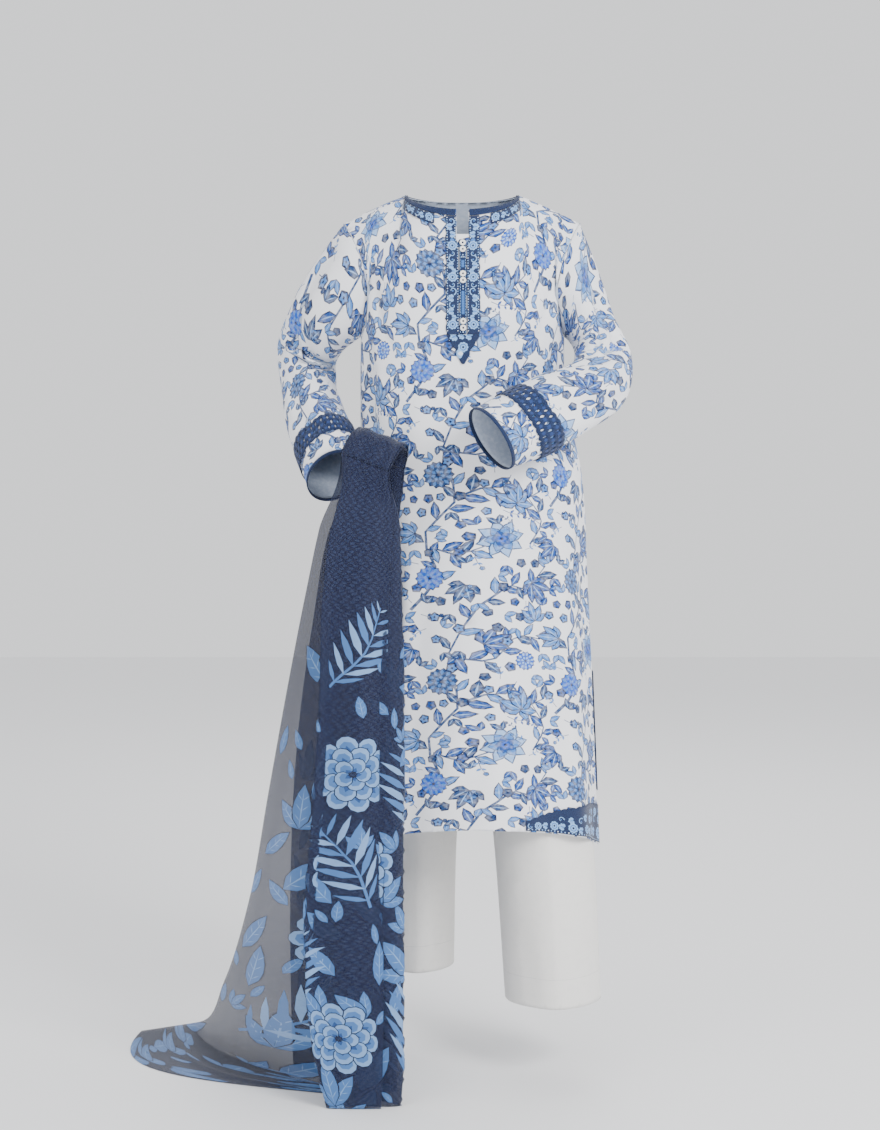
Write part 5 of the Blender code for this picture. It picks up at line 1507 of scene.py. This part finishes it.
# Height, x of the free edge, the first fold, the second fold and the outer edge, y of the first layer and
# of the outer edge, gap between layers
FRONT_HALF = np.array([
    (1.060, -0.108, -0.184, -0.106, -0.200, -0.214, -0.196, 0.0045),
    (0.980, -0.112, -0.209, -0.101, -0.226, -0.232, -0.190, 0.0060),
    (0.850, -0.119, -0.228, -0.097, -0.256, -0.243, -0.168, 0.0085),
    (0.680, -0.123, -0.234, -0.094, -0.291, -0.248, -0.130, 0.0110),
    (0.500, -0.126, -0.246, -0.094, -0.326, -0.250, -0.085, 0.0120),
    (0.300, -0.129, -0.260, -0.095, -0.366, -0.246, -0.010, 0.0125),
    (0.130, -0.130, -0.250, -0.095, -0.420, -0.238, 0.095, 0.0125),
    (0.030, -0.132, -0.232, -0.097, -0.468, -0.230, 0.200, 0.0125),
    (0.0014, -0.134, -0.224, -0.100, -0.500, -0.226, 0.285, 0.0125),
])
TAIL_TIP = (-0.585, 0.235)
TAIL_BULGE = (-0.060, -0.240)
# Height, right edge x, left edge x, distance behind the front half
BACK_HALF = np.array([
    (1.040, -0.107, -0.186, 0.066), (0.950, -0.106, -0.218, 0.046), (0.800, -0.105, -0.246, 0.030),
    (0.600, -0.105, -0.274, 0.022), (0.400, -0.106, -0.288, 0.022), (0.200, -0.107, -0.292, 0.024),
    (0.0120, -0.108, -0.290, 0.026),
])
FALL = 1.06
TAIL = 0.40
BACK_FALL = 1.04
WRIST_LENGTH = 0.145
SCARF_WIDTH = 0.55
# Across the cut: the free edge, the two folds and the outer edge
SCARF_FOLDS = (0.0, 0.13, 0.29, SCARF_WIDTH)
# Long soft creases that run down the cloth: start across and down, end across and down, half width, height
DUPATTA_CREASES = np.array([
    (0.030, 0.10, 0.036, 0.70, 0.0060, -0.0016), (0.062, 0.16, 0.070, 0.95, 0.0070, 0.0018),
    (0.100, 0.08, 0.104, 0.80, 0.0060, -0.0016), (0.160, 0.10, 0.170, 0.90, 0.0080, 0.0014),
    (0.230, 0.20, 0.225, 1.00, 0.0080, -0.0014), (0.330, 0.10, 0.345, 0.95, 0.0100, 0.0030),
    (0.385, 0.15, 0.410, 1.10, 0.0110, -0.0035), (0.440, 0.20, 0.470, 1.20, 0.0120, 0.0035),
    (0.500, 0.15, 0.515, 1.00, 0.0090, -0.0030), (0.020, 0.60, 0.025, 1.04, 0.0070, 0.0020),
    (0.090, 0.70, 0.085, 1.05, 0.0080, -0.0020), (0.420, 1.15, 0.300, 1.35, 0.0120, 0.0035),
    (0.500, 1.20, 0.380, 1.42, 0.0120, 0.0030),
])


def across_share(s):
    """Share across the folds at s metres across the cut: the outer part takes more of the width."""
    return np.interp(s, SCARF_FOLDS, [0.0, 1 / 3, 2 / 3, 1.0])


def zigzag(share, turning_points):
    """Across the cloth: from the free edge to fold, fold and outer edge, slower at each fold."""
    leg = np.clip(share, 0, 1) * 3
    row = np.clip(leg.astype(int), 0, 2)
    f = leg - row
    f = f - 0.07 * np.sin(2 * np.pi * f)
    stops = np.stack(turning_points)
    start = np.take_along_axis(stops, row[None], axis=0)[0]
    end = np.take_along_axis(stops, row[None] + 1, axis=0)[0]
    return start + (end - start) * f


def layer_of(share):
    """Which layer the cloth is in: 0, 1 or 2, and half way between them at a fold."""
    leg = np.clip(share, 0, 1) * 3
    row = np.clip(leg.astype(int), 0, 2)
    off = 2 * (leg - row) - 1
    bend = 0.5 * np.sign(off) * np.abs(off) ** 5
    bend = np.where((row == 0) & (off < 0), 0, bend)
    bend = np.where((row == 2) & (off > 0), 0, bend)
    return row + bend


def over_wrist(share, turn):
    """The gathered stretch round the wrist: layers stacked on an arc about the wrist's axis."""
    place = zigzag(share, [np.full_like(share, value) for value in (0.03, 0.97, 0.0, 1.0)])[..., None]
    axis = unit(WRIST_LEFT_END - WRIST_RIGHT_END)
    upward = unit(np.array([0.0, 0.0, 1.0]) - axis * axis[2])
    ahead = unit(np.cross(axis, upward))
    ahead = ahead * -np.sign(ahead[1])
    pleats = 0.0015 * np.sin(share * 3 * 2 * np.pi * 3)
    radius = (WRIST_RADIUS + LAYER_STEP * (1 - layer_of(share)) + pleats)[..., None]
    middle = WRIST_RIGHT_END * (1 - place) + WRIST_LEFT_END * place
    return middle + radius * (np.cos(turn)[..., None] * upward - np.sin(turn)[..., None] * ahead)


def front_half(share, down):
    """The half that hangs in front: 0 at the wrist, 1 at the floor, then the tail on the floor to 2."""
    falling = np.clip(down, 0, 1)
    top_z = FRONT_HALF[0, 0]
    height = top_z + (FRONT_HALF[-1, 0] - top_z) * falling
    free_edge, fold_one, fold_two, outer, y_first, y_outer, gap = along(FRONT_HALF[::-1], height)
    x = zigzag(share, [free_edge, fold_one, fold_two, outer])
    out_share = np.clip(share * 3 - 2, 0, 1)
    y = y_first + gap * layer_of(share) + (y_outer - y_first - 2 * gap) * out_share**1.5
    waves = 0.007 * ease(falling / 0.4) * np.sin(share * 3 * 2 * np.pi * 1.5 + 0.8)
    waves = waves * ease(2 * (1 - falling) + 0.2)
    tail = (np.clip(down - 1, 0, 1) * ease(out_share))[..., None]
    bulge = 4 * out_share * (1 - out_share)
    end_x = TAIL_TIP[0] * out_share + x * (1 - out_share) + TAIL_BULGE[0] * bulge
    end_y = TAIL_TIP[1] * out_share + y * (1 - out_share) + TAIL_BULGE[1] * bulge
    hung = point(x, y + waves, height) * (1 - tail) + point(end_x, end_y, height) * tail
    joined = ease(1 - falling / 0.10)[..., None]
    wrist = over_wrist(share, 0 * share - np.pi / 2)
    wrist[..., 2] -= falling * (top_z - FRONT_HALF[-1, 0])
    return wrist * joined + (hung + (0, 0, FLOOR_Z)) * (1 - joined)


def back_half(share, down):
    """The half that hangs behind the first: its folds stand in the other order, close behind."""
    top_z = BACK_HALF[0, 0]
    height = top_z + (BACK_HALF[-1, 0] - top_z) * down
    right, left, behind = along(BACK_HALF[::-1], height)
    x = zigzag(share, [right - 0.004, right + 0.8 * (left - right), right, left])
    free_edge, fold_one, fold_two, outer, y_first, y_outer, gap = along(FRONT_HALF[::-1], height)
    reach = np.clip((fold_two - x) / (fold_two - outer), 0, 1)
    y = y_first + 2 * gap + (y_outer - y_first - 2 * gap) * reach**1.5
    hung = point(x, y + behind + 0.0065 * (2 - layer_of(share)), height + FLOOR_Z)
    joined = ease(1 - down / 0.10)[..., None]
    wrist = over_wrist(share, 0 * share + np.pi / 2)
    wrist[..., 2] -= down * (top_z - BACK_HALF[-1, 0])
    return wrist * joined + hung * (1 - joined)


def creased_scarf(smooth_cut, outside):
    """A stretch of the scarf with its long creases, which fade at the folds and edges."""
    def shape(s, t):
        room = np.min(np.abs(s[..., None] - np.array(SCARF_FOLDS)), axis=-1)
        lift = crease_lift(DUPATTA_CREASES, s, t) * ease(room / 0.02) * ease(t / 0.12)
        return smooth_cut(s, t) + facing(smooth_cut, s, t, outside, 4e-4) * lift[..., None]
    return shape


def front_cut_of_scarf(s, t):
    """The front half from its cut: t metres down from the wrist, past the floor into the tail."""
    down = np.where(t < FALL, t / FALL, 1 + (t - FALL) / TAIL)
    return front_half(across_share(s), 0.0004 + down * 0.9996)


def wrist_scarf(s, t):
    """The stretch over the wrist from its cut: t metres back from the front half's top."""
    return over_wrist(across_share(s), (-np.pi / 2 + 0.004) + t / WRIST_LENGTH * (np.pi - 0.008))


front_scarf = creased_scarf(front_cut_of_scarf, 1)
back_scarf = creased_scarf(lambda s, t: back_half(across_share(s), 0.0004 + t / BACK_FALL * 0.9996), -1)

SCARF_NAVY = (*blue("0d1232"), 0.58)
SCARF_DEEP = (*blue("0a1230"), 0.70)
SCARF_PALE = (*blue("7fa3d0"), 0.74)
SCARF_LIGHT = (*blue("4a76b0"), 0.72)
SCARF_MID = (*blue("234a85"), 0.70)


def bloom(radius):
    """A large full flower: rings of round petals, outer ones first, each dark edged and deeper within."""
    patches = []
    for petals, reach, size, offset in ((10, 0.76, 0.27, 0.0), (8, 0.50, 0.25, 0.3), (5, 0.24, 0.21, 0.1)):
        for k in range(petals):
            angle = 2 * math.pi * k / petals + offset
            wide = radius * size
            petal = [
                (disc(wide, 10) + (0, radius * reach), SCARF_DEEP),
                (disc(wide * 0.90, 10) + (0, radius * reach), SCARF_PALE),
                (disc(wide * 0.66, 7) + (0, radius * (reach - 0.06)), SCARF_LIGHT),
                (leaf(wide * 0.9, wide * 0.30, 3) + (0, radius * (reach - 0.24)), SCARF_MID),
            ]
            patches += placed(petal, 0, 0, angle)
    return patches + [(rosette(radius * 0.10, 8, 0.25, 2), SCARF_DEEP)]


def frond(length, pairs=8):
    """A palm frond: a fine stem with long narrow leaflets in pairs, shorter to the tip."""
    bend = length * 0.10
    rib = stem([(0, 0), (bend, length * 0.5), (0, length)], length * 0.030, length * 0.012, 7)
    patches = [(rib, SCARF_LIGHT)]
    for k in range(pairs):
        f = (k + 0.6) / pairs
        size = length * 0.42 * math.sin(math.pi * (0.18 + 0.75 * f))
        for hand in (-1, 1):
            place = (bend * math.sin(math.pi * f), length * f)
            leaflet = turned(leaf(size, size * 0.085, 4), *place, hand * 0.85)
            patches.append((leaflet, SCARF_PALE if k % 2 else SCARF_LIGHT))
    return patches


def broad_leaf(length):
    """A broad leaf with a dark edge, a midrib and side veins."""
    patches = [
        (leaf(length, length * 0.22, 6), SCARF_DEEP),
        (leaf(length * 0.94, length * 0.19, 6) + (0, length * 0.02), SCARF_LIGHT),
        (leaf(length * 0.85, length * 0.016, 3) + (0, length * 0.03), SCARF_PALE),
    ]
    vein = leaf(length * 0.20, length * 0.010, 3)
    for k in range(3):
        for hand in (-1, 1):
            patches.append((turned(vein, 0, length * (0.18 + 0.22 * k), hand * 0.8), SCARF_PALE))
    return patches


def scarf_print(length, seed, tries_in_all):
    """Generic large flowers, palm fronds and leaves: none near the wrist, many near the floor."""
    chance = np.random.default_rng(seed)
    main = [(bloom(radius), s, t, angle, reach) for radius, s, t, angle, reach in (
        (0.062, 0.060, 0.50, 0.2, 0.060), (0.056, 0.400, 0.80, 1.0, 0.055),
        (0.058, 0.205, 0.66, 0.6, 0.056), (0.060, 0.075, 0.94, 1.4, 0.058),
    )] + [(frond(size), s, t, angle, reach) for size, s, t, angle, reach in (
        (0.150, 0.100, 0.36, 2.6, 0.030), (0.170, 0.330, 0.62, 2.9, 0.035),
        (0.160, 0.030, 0.72, -2.6, 0.035), (0.170, 0.490, 1.00, 2.4, 0.035),
        (0.180, 0.300, 1.02, 3.3, 0.035), (0.150, 0.180, 0.90, 2.8, 0.035),
        (0.180, 0.420, 1.30, 1.2, 0.035), (0.160, 0.250, 1.28, -1.0, 0.035),
    )]
    main = [row for row in main if row[2] < length]
    patches = []
    taken = [(s, t, reach) for _, s, t, _, reach in main]
    for tries in range(tries_in_all):
        s, t, angle = chance.uniform(0.0, SCARF_WIDTH), chance.uniform(0.0, length), chance.uniform(2.2, 4.1)
        size = chance.uniform(0.055, 0.095) if tries < 200 else chance.uniform(0.030, 0.045)
        if chance.uniform(0, 1) > (t - 0.22) / 0.50:
            continue
        if any(math.hypot(s - a, t - b) < 0.62 * (size * 0.56 + far) for a, b, far in taken):
            continue
        taken.append((s, t, size * 0.5))
        motif = placed(broad_leaf(size), 0, -size / 2)
        if tries % 3 == 0:
            smaller = broad_leaf(size * 0.8)
            motif = placed(smaller, 0, -size / 2, 0.75) + placed(smaller, 0, -size / 2, -0.7) + motif
        patches += placed(motif, s, t, angle)
    for motif, s, t, angle, _ in main[::-1]:
        patches += placed(motif, s, t, angle)
    return patches


chiffon = Finish("navy_chiffon", roughness=0.55, sheen=0.2)
s, t, uneven = chiffon.threads(600.0, 0.0002)
dye = chiffon.dye()
clear = Value(chiffon.tree, dye.socket.node.outputs[1])
chevron = ((s * 420 + (t * 260).sine() * 1.6).sine() * (t * 700).sine()).over(0.15)
chiffon.colour(chevron * 0.10 + uneven * 0.05, dye, blue("5d79ad"))
chiffon.drive("Alpha", clear + uneven * 0.06)
for name, shape, outside, length, seed, tries_in_all, flat_size, held in (
    ("dupatta_front", front_scarf, 1, FALL + TAIL, 5, 480, (0.55, 1.50), "folded"),
    ("dupatta_over_arm", wrist_scarf, -1, WRIST_LENGTH, 8, 40, (0.26, 0.15), "gathered"),
    ("dupatta_back", back_scarf, -1, BACK_FALL, 12, 150, (0.42, 1.04), "folded"),
):
    outline = oblong(0, SCARF_WIDTH, length, 120, 70)
    flat = flat_cut(outline, scarf_print(length, seed, tries_in_all), 0.011, SCARF_NAVY)
    piece = laid_cloth(f"{name}_cloth", chiffon.material, flat, shape, outside, CHIFFON)
    declared(piece, flat=flat_size, held=held)
